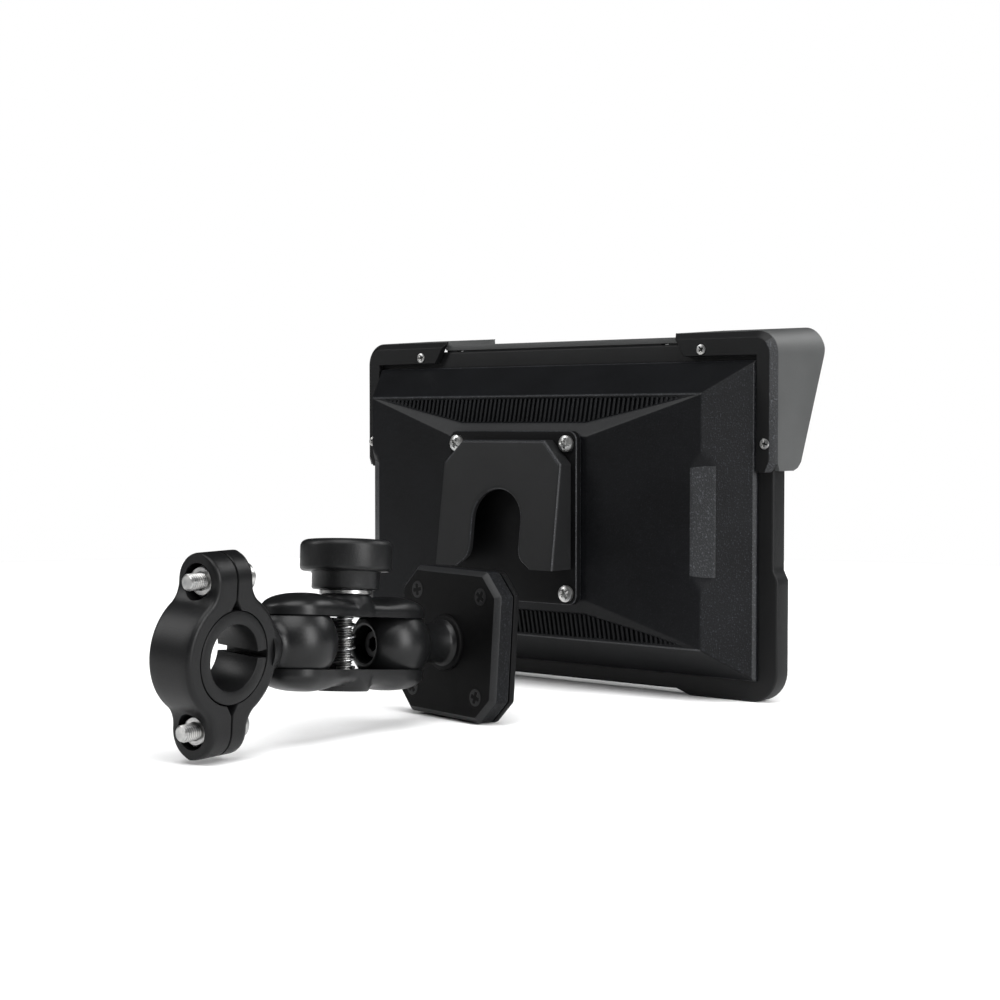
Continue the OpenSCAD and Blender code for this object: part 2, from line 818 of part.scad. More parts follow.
front_bezel();
rear_shell();
cover_glass();
panel_gasket();
lcd_panel();
lcd_frame();
main_board();
board_screws();
speaker();
cable_socket();
key_board();
key(1);  // key_1
key(2);  // key_2
key(3);  // key_3
key(4);  // key_4
key(5);  // key_5
key(6);  // key_6
sunshade();
sunshade_screws();
dock_bracket();
bracket_screws();
arm_lower();
arm_bolt();
arm_spring();
arm_upper();
arm_washer();
knob();
knob_insert();
ball_plate();
plate_ball();
plate_ball_screw();
backing_plate();
plate_screws();
clamp_body();
clamp_ball();
clamp_ball_screw();
clamp_sleeve();
clamp_cap();
clamp_nut(1);  // clamp_nut_top
clamp_nut(-1);  // clamp_nut_bottom
clamp_bolt(1);  // clamp_bolt_top
clamp_bolt(-1);  // clamp_bolt_bottom
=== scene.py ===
import json
import math

import bmesh
import bpy
import numpy as np
from mathutils import Euler, Matrix, Vector


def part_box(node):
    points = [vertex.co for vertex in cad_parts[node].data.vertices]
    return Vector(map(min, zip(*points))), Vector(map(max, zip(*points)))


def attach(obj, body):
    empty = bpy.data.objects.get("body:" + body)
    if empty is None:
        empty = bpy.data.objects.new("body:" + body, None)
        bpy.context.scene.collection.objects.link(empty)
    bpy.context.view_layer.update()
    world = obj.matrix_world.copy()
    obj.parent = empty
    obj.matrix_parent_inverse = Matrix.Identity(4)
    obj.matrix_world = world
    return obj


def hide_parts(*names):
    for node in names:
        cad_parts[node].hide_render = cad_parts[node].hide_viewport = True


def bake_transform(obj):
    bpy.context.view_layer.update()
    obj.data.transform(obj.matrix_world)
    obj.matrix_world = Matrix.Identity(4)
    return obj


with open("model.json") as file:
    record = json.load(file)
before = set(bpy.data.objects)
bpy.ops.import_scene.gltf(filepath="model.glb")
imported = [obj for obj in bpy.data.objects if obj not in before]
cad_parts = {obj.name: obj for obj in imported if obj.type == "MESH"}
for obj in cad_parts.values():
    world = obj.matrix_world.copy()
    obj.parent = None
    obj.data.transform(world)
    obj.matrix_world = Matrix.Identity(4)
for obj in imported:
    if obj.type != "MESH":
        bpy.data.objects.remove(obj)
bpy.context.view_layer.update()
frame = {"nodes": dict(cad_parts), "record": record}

record = frame["record"]
joints = {j["name"]: j for j in record["behaviour"]["joints"]}
mounts = {m["name"]: m for m in record["mounts"]}
mm = 0.001


def say(stage):
    print("scene:", stage, flush=True)


# Every piece is worked out in millimetres in the frame of its own item, then placed.
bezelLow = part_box("front_bezel")[0]
standHeight = 2.0                      # the corner bumpers lift the frame by this much
armTurn = (-6.0, -3.0, 5.3)            # turns of the three loose items, in degrees
plateTurn = (-3.3, 0.7, -9.5)
clampTurn = (0.6, 4.4, 4.0)


# A 4x4 that turns by the given degrees about X, Y, then Z and moves to origin (metres), from millimetres.
def placing(origin, turn):
    turned = Euler([math.radians(a) for a in turn], "XYZ").to_matrix().to_4x4()
    return np.array(Matrix.Translation(Vector(origin)) @ turned @ Matrix.Scale(mm, 4))


places = {
    "monitor": placing((0, bezelLow.y, standHeight * mm), (0, 0, 0)),
    "arm": placing(joints["knob_turn"]["pos_m"], armTurn),
    "plateBall": placing(joints["plate_swing"]["pos_m"], plateTurn),
    "clampBall": placing(joints["clamp_swing"]["pos_m"], clampTurn),
    "clamp": placing(mounts["bar_clamp"]["pos_m"], clampTurn),
}
plateReach = 22.5                      # ball's centre to the ball plate's front face
clampReach = 34.0


# Quads between neighbouring rows u and columns v of a grid, closed round where it wraps.
def gridFaces(nu, nv, wrapU=False, wrapV=False, flip=False, start=0):
    u = np.arange(nu if wrapU else nu - 1)
    v = np.arange(nv if wrapV else nv - 1)
    a, b = np.meshgrid(u, v, indexing="ij")
    a2, b2 = (a + 1) % nu, (b + 1) % nv
    quads = np.stack([a * nv + b, a2 * nv + b, a2 * nv + b2, a * nv + b2], -1).reshape(-1, 4)
    if flip:
        quads = quads[:, ::-1]
    return quads + start


# Vertices and faces of one grid surface; capU closes the first and last row, capV the columns.
def surface(points, wrapU=False, wrapV=False, flip=False, capU=False, capV=False):
    points = np.asarray(points, float)
    nu, nv = points.shape[:2]
    faces = gridFaces(nu, nv, wrapU, wrapV, flip).tolist()
    index = np.arange(nu * nv).reshape(nu, nv)
    if capU:
        faces += [index[0, ::-1].tolist(), index[-1].tolist()]
    if capV:
        faces += [index[:, 0].tolist(), index[::-1, -1].tolist()]
    return points.reshape(-1, 3), faces


# Joins surfaces (millimetres) into one mesh in its place; weld is the distance in millimetres at which points merge.
def joined(name, parts, place, weld=0.0, recalc=True):
    verts, faces, start = [], [], 0
    for v, f in parts:
        verts.append(v)
        faces += [[i + start for i in face] for face in f]
        start += len(v)
    m = places[place]
    world = np.concatenate(verts) @ m[:3, :3].T + m[:3, 3]
    mesh = bpy.data.meshes.new(name)
    mesh.from_pydata(world.tolist(), [], faces)
    bm = bmesh.new()
    bm.from_mesh(mesh)
    if weld:
        bmesh.ops.remove_doubles(bm, verts=bm.verts, dist=weld * mm)
        bmesh.ops.dissolve_degenerate(bm, edges=bm.edges, dist=weld * mm * 0.5)
    if recalc:
        bmesh.ops.recalc_face_normals(bm, faces=bm.faces)
    bm.to_mesh(mesh)
    bm.free()
    obj = bpy.data.objects.new(name, mesh)
    bpy.context.scene.collection.objects.link(obj)
    return obj


# Makes one finished piece: its mesh, its shading, its material, and what it rides on and replaces.
def makePiece(name, parts, place, body, material, nodes=(), smooth=35, weld=0.004, recalc=True, ride=True):
    obj = joined(name, parts, place, weld, recalc)
    shade(obj, smooth)
    obj.data.materials.append(material)
    if ride:
        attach(obj, body)
    if nodes:
        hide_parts(*nodes)
    return obj


# Smooth shading that stays sharp where faces meet at more than the given angle.
def shade(obj, degrees):
    obj.data.shade_smooth()
    obj.data.set_sharp_from_angle(angle=math.radians(degrees))


# Turns an open sheet over if, taken together, its faces look away from the given direction.
def faceOut(obj, direction):
    mesh = obj.data
    normal, area = np.empty(len(mesh.polygons) * 3), np.empty(len(mesh.polygons))
    mesh.polygons.foreach_get("normal", normal)
    mesh.polygons.foreach_get("area", area)
    if np.sum(normal.reshape(-1, 3) @ np.array(direction, float) * area) < 0:
        mesh.flip_normals()
        mesh.update()


# Gives a sheet its wall, which grows inwards from its outer side.
def addWall(obj, thickness, even=False):
    solid = obj.modifiers.new("wall", "SOLIDIFY")
    solid.thickness, solid.offset, solid.use_even_offset = thickness * mm, -1, even


# Bevels the edges where faces meet at more than the given angle.
def softenEdges(obj, width, degrees):
    soft = obj.modifiers.new("edges", "BEVEL")
    soft.width, soft.segments, soft.limit_method, soft.angle_limit = width * mm, 2, "ANGLE", math.radians(degrees)


# Each face's centre in its item's own millimetres, and its normal turned the same way.
def facesOf(obj, place):
    turn = places[place][:3, :3] / mm
    count = len(obj.data.polygons) * 3
    centre, normal = np.empty(count), np.empty(count)
    obj.data.polygons.foreach_get("center", centre)
    obj.data.polygons.foreach_get("normal", normal)
    return (centre.reshape(-1, 3) - places[place][:3, 3]) @ turn / mm, normal.reshape(-1, 3) @ turn


# Gives the chosen faces a second material.
def repaint(obj, chosen, material):
    index = np.empty(len(obj.data.polygons), dtype=int)
    obj.data.polygons.foreach_get("material_index", index)
    obj.data.materials.append(material)
    index[chosen] = len(obj.data.materials) - 1
    obj.data.polygons.foreach_set("material_index", index)


def moved(part, offset):
    return part[0] + np.asarray(offset, float), part[1]


# Turns a part about Y.
def spun(part, degrees):
    a = math.radians(degrees)
    c, s = math.cos(a), math.sin(a)
    v = part[0]
    return np.stack([v[:, 0] * c - v[:, 2] * s, v[:, 1], v[:, 0] * s + v[:, 2] * c], -1), part[1]


def circlePoints(n, start=0.0, stop=2 * math.pi, endpoint=False):
    a = np.linspace(start, stop, n, endpoint=endpoint)
    return np.cos(a), np.sin(a)


# Turns a profile of (radius, height) points about an axis: each point becomes a ring of n points.
def revolve(profile, n=64, axis="z"):
    profile = np.asarray(profile, float)
    c, s = circlePoints(n)
    r, h = profile[:, :1], profile[:, 1:2]
    ring = np.stack([r * c, r * s, h + 0 * c], -1)
    if axis == "y":
        ring = np.stack([ring[..., 0], ring[..., 2], ring[..., 1]], -1)
    if axis == "x":
        ring = np.stack([ring[..., 2], ring[..., 0], ring[..., 1]], -1)
    return surface(ring, wrapV=True, capU=True)


# Points on a circle about (cx, cy) from angle a0 to a1, in degrees.
def arc(cx, cy, r, a0, a1, n):
    a = np.radians(np.linspace(a0, a1, n))
    return np.stack([cx + r * np.cos(a), cy + r * np.sin(a)], -1)


# Unit normals to the right of the direction of travel, with the length that keeps an offset parallel.
def outlineNormals(outline, closed=True):
    p = np.asarray(outline, float)
    before, after = np.roll(p, 1, 0), np.roll(p, -1, 0)
    if not closed:
        before[0], after[-1] = 2 * p[0] - p[1], 2 * p[-1] - p[-2]
    d0, d1 = p - before, after - p
    d0 /= np.linalg.norm(d0, axis=1, keepdims=True)
    d1 /= np.linalg.norm(d1, axis=1, keepdims=True)
    n0, n1 = np.stack([d0[:, 1], -d0[:, 0]], -1), np.stack([d1[:, 1], -d1[:, 0]], -1)
    n = n0 + n1
    n /= np.maximum(np.sum(n * n0, 1, keepdims=True), 0.4)
    return n


# Counter-clockwise rounded rectangle in X-Z, with sideSteps pieces along each straight side.
def roundedRect(halfW, lo, hi, r, cornerSteps=8, sideSteps=1):
    centres = [(halfW - r, hi - r), (-halfW + r, hi - r), (-halfW + r, lo + r), (halfW - r, lo + r)]
    corners = [arc(x, z, r, 90 * k, 90 * k + 90, cornerSteps + 1) for k, (x, z) in enumerate(centres)]
    points = []
    for i, corner in enumerate(corners):
        nextStart = corners[(i + 1) % 4][0]
        t = np.linspace(0, 1, sideSteps + 1)[1:-1, None]
        points += [corner, corner[-1] * (1 - t) + nextStart * t]
    return np.concatenate(points)


# Plate between y0 and y1 with the given X-Z outline; both rims follow a quarter circle of radius edge.
def slabOf(outline, y0, y1, edge=0.4, steps=3, edgeBack=None):
    outline = np.asarray(outline, float)
    normal = outlineNormals(outline)
    edgeBack = edge if edgeBack is None else edgeBack
    a = np.radians(np.linspace(0, 90, steps + 1))
    rings = [(y0 + edge * (1 - math.sin(t)), edge * (1 - math.cos(t))) for t in a[::-1]]
    rings += [(y1 - edgeBack * (1 - math.sin(t)), edgeBack * (1 - math.cos(t))) for t in a]
    points = []
    for y, inset in rings:
        p = outline - normal * inset
        points.append(np.stack([p[:, 0], np.full(len(p), y), p[:, 1]], -1))
    return surface(np.array(points), wrapV=True, capU=True)


def nodeMaterial(name):
    material = bpy.data.materials.new(name)
    material.use_nodes = True
    tree = material.node_tree
    shader = tree.nodes["Principled BSDF"]
    coords = tree.nodes.new("ShaderNodeTexCoord")
    return material, tree, shader, coords.outputs["Object"]


# Noise at a scale in cycles per metre, drawn out along an axis where stretch says so.
def noise(tree, coords, scale, detail=3.0, rough=0.55, stretch=None):
    node = tree.nodes.new("ShaderNodeTexNoise")
    node.inputs["Scale"].default_value = scale
    node.inputs["Detail"].default_value = detail
    node.inputs["Roughness"].default_value = rough
    if stretch:
        mapping = tree.nodes.new("ShaderNodeMapping")
        mapping.inputs["Scale"].default_value = stretch
        tree.links.new(coords, mapping.inputs["Vector"])
        coords = mapping.outputs["Vector"]
    tree.links.new(coords, node.inputs["Vector"])
    return node.outputs["Fac"]


# Colour from a to b while value goes from low to high.
def ramp(tree, value, low, high, a, b):
    node = tree.nodes.new("ShaderNodeValToRGB")
    node.color_ramp.elements[0].position = low
    node.color_ramp.elements[1].position = high
    node.color_ramp.elements[0].color = (*a, 1) if len(a) == 3 else a
    node.color_ramp.elements[1].color = (*b, 1) if len(b) == 3 else b
    tree.links.new(value, node.inputs["Fac"])
    return node.outputs["Color"]


def spread(tree, value, low, high):
    node = tree.nodes.new("ShaderNodeMapRange")
    node.inputs["To Min"].default_value = low
    node.inputs["To Max"].default_value = high
    tree.links.new(value, node.inputs["Value"])
    return node.outputs["Result"]


# Chains bumps: each entry is a height socket, its depth in metres and its strength.
def bump(tree, shader, heights):
    normal = None
    for height, depth, strength in heights:
        node = tree.nodes.new("ShaderNodeBump")
        node.inputs["Distance"].default_value = depth
        node.inputs["Strength"].default_value = strength
        tree.links.new(height, node.inputs["Height"])
        if normal:
            tree.links.new(normal, node.inputs["Normal"])
        normal = node.outputs["Normal"]
    tree.links.new(normal, shader.inputs["Normal"])


# Moulded plastic: a tinted speckle, a spark-eroded grain and a slightly uneven sheen.
def plastic(name, settings):
    material, tree, shader, coords = nodeMaterial(name)
    grain = noise(tree, coords, settings["grainScale"], 2.0, 0.6)
    cloud = noise(tree, coords, 45.0, 3.0, 0.5)
    mixed = tree.nodes.new("ShaderNodeMix")
    mixed.data_type = "RGBA"
    mixed.blend_type = "ADD"
    mixed.inputs["Factor"].default_value = settings["speckle"]
    tree.links.new(ramp(tree, cloud, 0.3, 0.7, settings["dark"], settings["light"]), mixed.inputs["A"])
    tree.links.new(ramp(tree, grain, 0.56, 0.74, (0, 0, 0), settings["speck"]), mixed.inputs["B"])
    tree.links.new(mixed.outputs["Result"], shader.inputs["Base Color"])
    tree.links.new(spread(tree, grain, *settings["rough"]), shader.inputs["Roughness"])
    shader.inputs["Specular IOR Level"].default_value = settings["specular"]
    bump(tree, shader, [(grain, settings["grainDepth"], settings["grainStrength"]), (cloud, 0.0002, 0.08)])
    return material


# Plated steel: fine drawn lines, faint clouding, and dulled spots.
def metal(name, settings):
    material, tree, shader, coords = nodeMaterial(name)
    lines = noise(tree, coords, settings["lineScale"], 3.0, 0.6, settings["stretch"])
    cloud = noise(tree, coords, 400.0, 3.0, 0.5)
    tree.links.new(ramp(tree, cloud, 0.3, 0.75, settings["light"], settings["dark"]), shader.inputs["Base Color"])
    tree.links.new(spread(tree, lines, *settings["rough"]), shader.inputs["Roughness"])
    shader.inputs["Metallic"].default_value = 1.0
    bump(tree, shader, [(lines, 0.00004, settings["strength"])])
    return material


finishes = {
    "frame": dict(
        dark=(0.0035, 0.0036, 0.0038), light=(0.0050, 0.0052, 0.0055), speck=(0.0160, 0.0165, 0.0175),
        speckle=0.25, grainScale=2600, grainDepth=0.0001, grainStrength=0.35, rough=(0.4, 0.58), specular=0.16),
    "shell": dict(
        dark=(0.0020, 0.0022, 0.0026), light=(0.0034, 0.0037, 0.0044), speck=(0.0150, 0.0160, 0.0190),
        speckle=0.3, grainScale=2100, grainDepth=0.00014, grainStrength=0.5, rough=(0.42, 0.6), specular=0.1),
    "plate": dict(
        dark=(0.0018, 0.0018, 0.0019), light=(0.0028, 0.0029, 0.0030), speck=(0.0090, 0.0092, 0.0098),
        speckle=0.25, grainScale=2600, grainDepth=0.0001, grainStrength=0.35, rough=(0.45, 0.62), specular=0.07),
    "pocket": dict(
        dark=(0.0055, 0.0057, 0.0060), light=(0.0075, 0.0077, 0.0081), speck=(0.0150, 0.0154, 0.0160),
        speckle=0.2, grainScale=3000, grainDepth=0.00006, grainStrength=0.3, rough=(0.42, 0.55), specular=0.18),
    # coarse grain with a painted highlight: a lighter, glossier copy of the black plastic for creases, chamfers and
    # slanted faces
    "grainHighlight": dict(
        dark=(0.0060, 0.0065, 0.0074), light=(0.0100, 0.0108, 0.0122), speck=(0.0750, 0.0800, 0.0920),
        speckle=0.55, grainScale=1700, grainDepth=0.00022, grainStrength=0.9, rough=(0.36, 0.56), specular=0.26),
    "side": dict(
        dark=(0.0016, 0.0018, 0.0022), light=(0.0034, 0.0038, 0.0045), speck=(0.0340, 0.0365, 0.0430),
        speckle=0.5, grainScale=1900, grainDepth=0.0002, grainStrength=0.8, rough=(0.44, 0.62), specular=0.09),
    # painted highlight: a lighter copy of the black plastic for faces lit from above
    "slope": dict(
        dark=(0.0085, 0.0088, 0.0094), light=(0.0120, 0.0124, 0.0130), speck=(0.0300, 0.0310, 0.0330),
        speckle=0.25, grainScale=2100, grainDepth=0.0001, grainStrength=0.4, rough=(0.42, 0.58), specular=0.2),
    "shade": dict(
        dark=(0.0400, 0.0412, 0.0412), light=(0.0500, 0.0515, 0.0515), speck=(0.0600, 0.0618, 0.0618),
        speckle=0.2, grainScale=3200, grainDepth=0.00006, grainStrength=0.25, rough=(0.46, 0.6), specular=0.3),
    "bracket": dict(
        dark=(0.0014, 0.0014, 0.0016), light=(0.0024, 0.0025, 0.0027), speck=(0.0080, 0.0083, 0.0089),
        speckle=0.2, grainScale=3000, grainDepth=0.00006, grainStrength=0.3, rough=(0.42, 0.55), specular=0.08),
    "coat": dict(
        dark=(0.0035, 0.0036, 0.0038), light=(0.0050, 0.0052, 0.0055), speck=(0.0120, 0.0124, 0.0131),
        speckle=0.25, grainScale=2400, grainDepth=0.00008, grainStrength=0.3, rough=(0.28, 0.42), specular=0.24),
    "nylon": dict(
        dark=(0.0028, 0.0029, 0.0031), light=(0.0042, 0.0043, 0.0046), speck=(0.0100, 0.0103, 0.0109),
        speckle=0.25, grainScale=1900, grainDepth=0.0001, grainStrength=0.35, rough=(0.34, 0.48), specular=0.18),
    "knobNylon": dict(
        dark=(0.0035, 0.0036, 0.0038), light=(0.0050, 0.0052, 0.0055), speck=(0.0120, 0.0124, 0.0131),
        speckle=0.3, grainScale=2000, grainDepth=0.0001, grainStrength=0.45, rough=(0.34, 0.48), specular=0.22),
    "key": dict(
        dark=(0.0120, 0.0120, 0.0125), light=(0.0170, 0.0170, 0.0180), speck=(0.0300, 0.0300, 0.0300),
        speckle=0.2, grainScale=3000, grainDepth=0.00005, grainStrength=0.3, rough=(0.45, 0.6), specular=0.35),
    "blackScrew": dict(
        dark=(0.0025, 0.0025, 0.0028), light=(0.0050, 0.0050, 0.0054), speck=(0.0150, 0.0150, 0.0160),
        speckle=0.3, grainScale=3500, grainDepth=0.00003, grainStrength=0.25, rough=(0.32, 0.46), specular=0.25),
    "foam": dict(
        dark=(0.0080, 0.0080, 0.0080), light=(0.0140, 0.0140, 0.0140), speck=(0.0300, 0.0300, 0.0300),
        speckle=0.4, grainScale=1300, grainDepth=0.0003, grainStrength=1, rough=(0.8, 0.95), specular=0.2),
}
metals = {
    "zinc": dict(light=(.50, .495, .48), dark=(.24, .245, .25), lineScale=2600, stretch=(1, 1, 0.15),
                 rough=(0.24, 0.46), strength=0.4),
    "spring": dict(light=(.46, .46, .46), dark=(.22, .225, .23), lineScale=3500, stretch=(1, 1, 0.4),
                   rough=(0.22, 0.38), strength=0.25),
    "brass": dict(light=(.78, .58, .27), dark=(.55, .38, .16), lineScale=2200, stretch=(1, 1, 0.2),
                  rough=(0.22, 0.4), strength=0.3),
}
paint = {k: plastic(k + "Plastic", v) for k, v in finishes.items()}
paint.update({k: metal(k + "Metal", v) for k, v in metals.items()})


# Cut steel with painted shade darkening the thread's grooves, by the amount in a point attribute.
def grooveShadedMetal():
    material = metal("grooveShadedMetal", metals["zinc"])
    tree = material.node_tree
    shader = next(n for n in tree.nodes if n.type == "BSDF_PRINCIPLED")
    source = shader.inputs["Base Color"].links[0].from_socket
    grooveShade, dark = tree.nodes.new("ShaderNodeAttribute"), tree.nodes.new("ShaderNodeMix")
    grooveShade.attribute_name = "grooveShade"
    dark.data_type = "RGBA"
    tree.links.new(grooveShade.outputs["Fac"], dark.inputs["Factor"])
    tree.links.new(source, dark.inputs["A"])
    # painted shade colour for the thread's grooves
    dark.inputs["B"].default_value = (0.02, 0.02, 0.021, 1)
    tree.links.new(dark.outputs["Result"], shader.inputs["Base Color"])
    return material


paint["thread"] = grooveShadedMetal()


# Circuit board: green lacquer over faint copper tracks.
def boardMaterial():
    material, tree, shader, coords = nodeMaterial("circuitBoard")
    tracks = noise(tree, coords, 900, 0.0, 0.5, (1, 1, 0.12))
    tree.links.new(ramp(tree, tracks, 0.5, 0.53, (.006, .07, .025), (.012, .12, .045)), shader.inputs["Base Color"])
    shader.inputs["Roughness"].default_value = 0.35
    bump(tree, shader, [(tracks, 0.00005, 0.5)])
    return material


# Dark cover glass with a fine anti-glare etch.
def screenMaterial():
    material, tree, shader, coords = nodeMaterial("screenGlass")
    etch = noise(tree, coords, 5000, 1.0, 0.5)
    cloud = noise(tree, coords, 30, 3.0, 0.6)
    tree.links.new(ramp(tree, cloud, 0.3, 0.8, (.004, .0045, .006), (.006, .0066, .0085)), shader.inputs["Base Color"])
    tree.links.new(spread(tree, cloud, 0.12, 0.2), shader.inputs["Roughness"])
    shader.inputs["Coat Weight"].default_value = 0.6
    shader.inputs["Coat Roughness"].default_value = 0.08
    bump(tree, shader, [(etch, 0.00001, 0.12)])
    return material


paint["board"] = boardMaterial()
paint["screen"] = screenMaterial()
say("materials")

cameraAt = dict(place=(436.6, -561.0, 92.5), yaw=39.6, down=2.18, lens=69.12)


def addCamera():
    m = places["monitor"]
    data = bpy.data.cameras.new("camera")
    data.lens, data.sensor_width = cameraAt["lens"], 36.0
    data.clip_start, data.clip_end = 0.01, 50
    obj = bpy.data.objects.new("camera", data)
    obj.location = m[:3, :3] @ np.array(cameraAt["place"]) + m[:3, 3]
    obj.rotation_euler = (math.radians(90 - cameraAt["down"]), 0, math.radians(cameraAt["yaw"]))
    bpy.context.scene.collection.objects.link(obj)
    bpy.context.scene.camera = obj


def addLight(name, at, target, size, power, colour=(1, 1, 1)):
    data = bpy.data.lights.new(name, "AREA")
    data.shape, data.size, data.size_y, data.energy, data.color = "RECTANGLE", size[0], size[1], power, colour
    obj = bpy.data.objects.new(name, data)
    obj.location = at
    obj.rotation_euler = (Vector(target) - Vector(at)).to_track_quat("-Z", "Y").to_euler()
    bpy.context.scene.collection.objects.link(obj)


studio = dict(
    sky=(0.03, 0.031, 0.033), backdrop=(1, 1, 1), sun=3.2, sunAngle=50, sunTilt=(18, 12), floorRadius=0.75,
    boxes=dict(
        right=dict(at=(1.1, -0.05, 0.45), aim=(0, 0.05, 0.06), size=(0.5, 0.9), power=16),
        back=dict(at=(0.5, 1.1, 0.9), aim=(0, 0.05, 0.06), size=(0.9, 0.5), power=8),
        left=dict(at=(-0.8, -0.75, 0.75), aim=(0, 0.0, 0.05), size=(0.35, 0.7), power=7),
    ),
)


# The sky is dark except where it is seen directly, so black plastic stays black against the pale ground.
def addStudio():
    scene = bpy.context.scene
    scene.view_settings.view_transform = "Standard"
    world = bpy.data.worlds.new("studio")
    scene.world = world
    world.use_nodes = True
    tree = world.node_tree
    seen, unseen = tree.nodes.new("ShaderNodeBackground"), tree.nodes["Background"]
    seen.inputs[0].default_value = (*studio["backdrop"], 1)
    unseen.inputs[0].default_value = (*studio["sky"], 1)
    mix, path = tree.nodes.new("ShaderNodeMixShader"), tree.nodes.new("ShaderNodeLightPath")
    tree.links.new(path.outputs["Is Camera Ray"], mix.inputs[0])
    tree.links.new(unseen.outputs[0], mix.inputs[1])
    tree.links.new(seen.outputs[0], mix.inputs[2])
    tree.links.new(mix.outputs[0], tree.nodes["World Output"].inputs["Surface"])
    for name, box in studio["boxes"].items():
        addLight(name + "Softbox", box["at"], box["aim"], box["size"], box["power"])
    data = bpy.data.lights.new("overhead", "SUN")
    data.energy, data.angle = studio["sun"], math.radians(studio["sunAngle"])
    sun = bpy.data.objects.new("overhead", data)
    sun.rotation_euler = [math.radians(a) for a in studio["sunTilt"]] + [0]
    scene.collection.objects.link(sun)
    mesh = bpy.data.meshes.new("floor")
    c, d = circlePoints(96)
    rim = np.stack([c, d, 0 * c], -1) * studio["floorRadius"]
    mesh.from_pydata(rim.tolist(), [], [list(range(len(rim)))])
    floor = bpy.data.objects.new("floor", mesh)
    material, tree, shader, coords = nodeMaterial("paleFloor")
    grain = noise(tree, coords, 300, 2.0, 0.5)
    tree.links.new(ramp(tree, grain, 0.2, 0.8, (.95, .95, .95), (.98, .98, .98)), shader.inputs["Base Color"])
    shader.inputs["Roughness"].default_value = 0.9
    shader.inputs["Specular IOR Level"].default_value = 0.1
    mesh.materials.append(material)
    scene.collection.objects.link(floor)


addCamera()
addStudio()
say("camera and studio")

shell = dict(
    mid=60.3, rim=(87.2, 54.9), rimDepth=1.5, ridge=(76.0, 43.45), ridgeDepth=19.0,
    flat=(31.6, 28.85), flatDepth=23.9, recess=(28.6, 33.6), recessDepth=21.1,
    grip=((71.3, 20.0), (79.0, 14.3)), gripHalf=19.0, gripRamp=0.53,
    line=0.34, ribPitch=2.0, ribWide=1.05, ribDeep=1.25, round=0.42, wall=2.0,
)


# Straight line from a at x0 to b at x1, level outside them.
def between(x, x0, x1, a, b):
    return a + (b - a) * np.clip((x - x0) / (x1 - x0), 0, 1)


# Heights above the middle, at width x, of the shell's creases: flat's edge, recess's edge, ridge, rim.
def shellLines(x):
    s = shell
    low = between(x, s["flat"][0], s["ridge"][0], s["flat"][1], s["ridge"][1] - 0.3)
    edge = between(x, s["recess"][0], s["ridge"][0], s["recess"][1], s["ridge"][1] - 0.1)
    ridge = s["ridge"][1] + np.clip((x - s["ridge"][0]) / (s["rim"][0] - s["ridge"][0]), 0, 1) * (
        s["rim"][1] - s["ridge"][1] - 0.05)
    return low, edge, ridge


# Depth behind the frame. Facets rise from the rim to the ridge; inside it a flat middle with leaning sides,
# and a sunk band above and below it; a grip flat cuts each side ridge.
def shellDepth(x, z):
    s = shell
    x, z = np.abs(x), np.abs(z)
    sideFacet = s["rimDepth"] + (s["rim"][0] - x) * (s["ridgeDepth"] - s["rimDepth"]) / (s["rim"][0] - s["ridge"][0])
    topFacet = s["rimDepth"] + (s["rim"][1] - z) * (s["ridgeDepth"] - s["rimDepth"]) / (s["rim"][1] - s["ridge"][1])
    plateau = between(x, s["flat"][0], s["ridge"][0], s["flatDepth"], s["ridgeDepth"])
    low, edge, ridge = shellLines(x)
    band = s["ridgeDepth"] + (s["ridge"][1] - z) * (s["recessDepth"] - s["ridgeDepth"]) / (
        s["ridge"][1] - s["recess"][1])
    atEdge = s["ridgeDepth"] + (s["ridge"][1] - edge) * (s["recessDepth"] - s["ridgeDepth"]) / (
        s["ridge"][1] - s["recess"][1])
    slope = (z - low) / np.maximum(edge - low, 1e-6)
    steep = plateau + (atEdge - plateau) * np.clip(slope, 0, 1)
    sunk = s["ribDeep"] * np.clip((s["ridge"][1] - edge) / 5.0, 0.12, 1)
    inBand = (z > edge + 0.35) & (z < s["ridge"][1] - 1.1) & (x < s["ridge"][0] - 2.2)
    top = np.where(z < edge, steep, band - np.where(inBand, sunk, 0))
    (x0, d0), (x1, d1) = s["grip"]
    grip = d0 + (x - x0) * (d1 - d0) / (x1 - x0) + np.maximum(0, z - s["gripHalf"]) * s["gripRamp"]
    depth = np.minimum(np.minimum(top, sideFacet), np.minimum(topFacet, grip))
    outside = np.maximum(x - s["rim"][0], z - s["rim"][1])
    return np.where(outside > 0, np.maximum(s["rimDepth"] - 4 * outside, 0), np.maximum(depth, 0))


# Depth averaged over two small rings, which rounds every crease.
def roundedDepth(x, z):
    total = 2 * shellDepth(x, z)
    count = 2
    for r, n in ((shell["round"] * 0.5, 6), (shell["round"], 10)):
        for a in np.arange(n) * 2 * math.pi / n:
            total = total + shellDepth(x + r * math.cos(a), z + r * math.sin(a))
            count += 1
    return total / count


# Each value with close neighbours on both sides, for a crease.
def around(values, gap=0.28, steps=2):
    k = np.arange(-steps, steps + 1) * gap
    return (np.asarray(values, float)[:, None] + k).ravel()


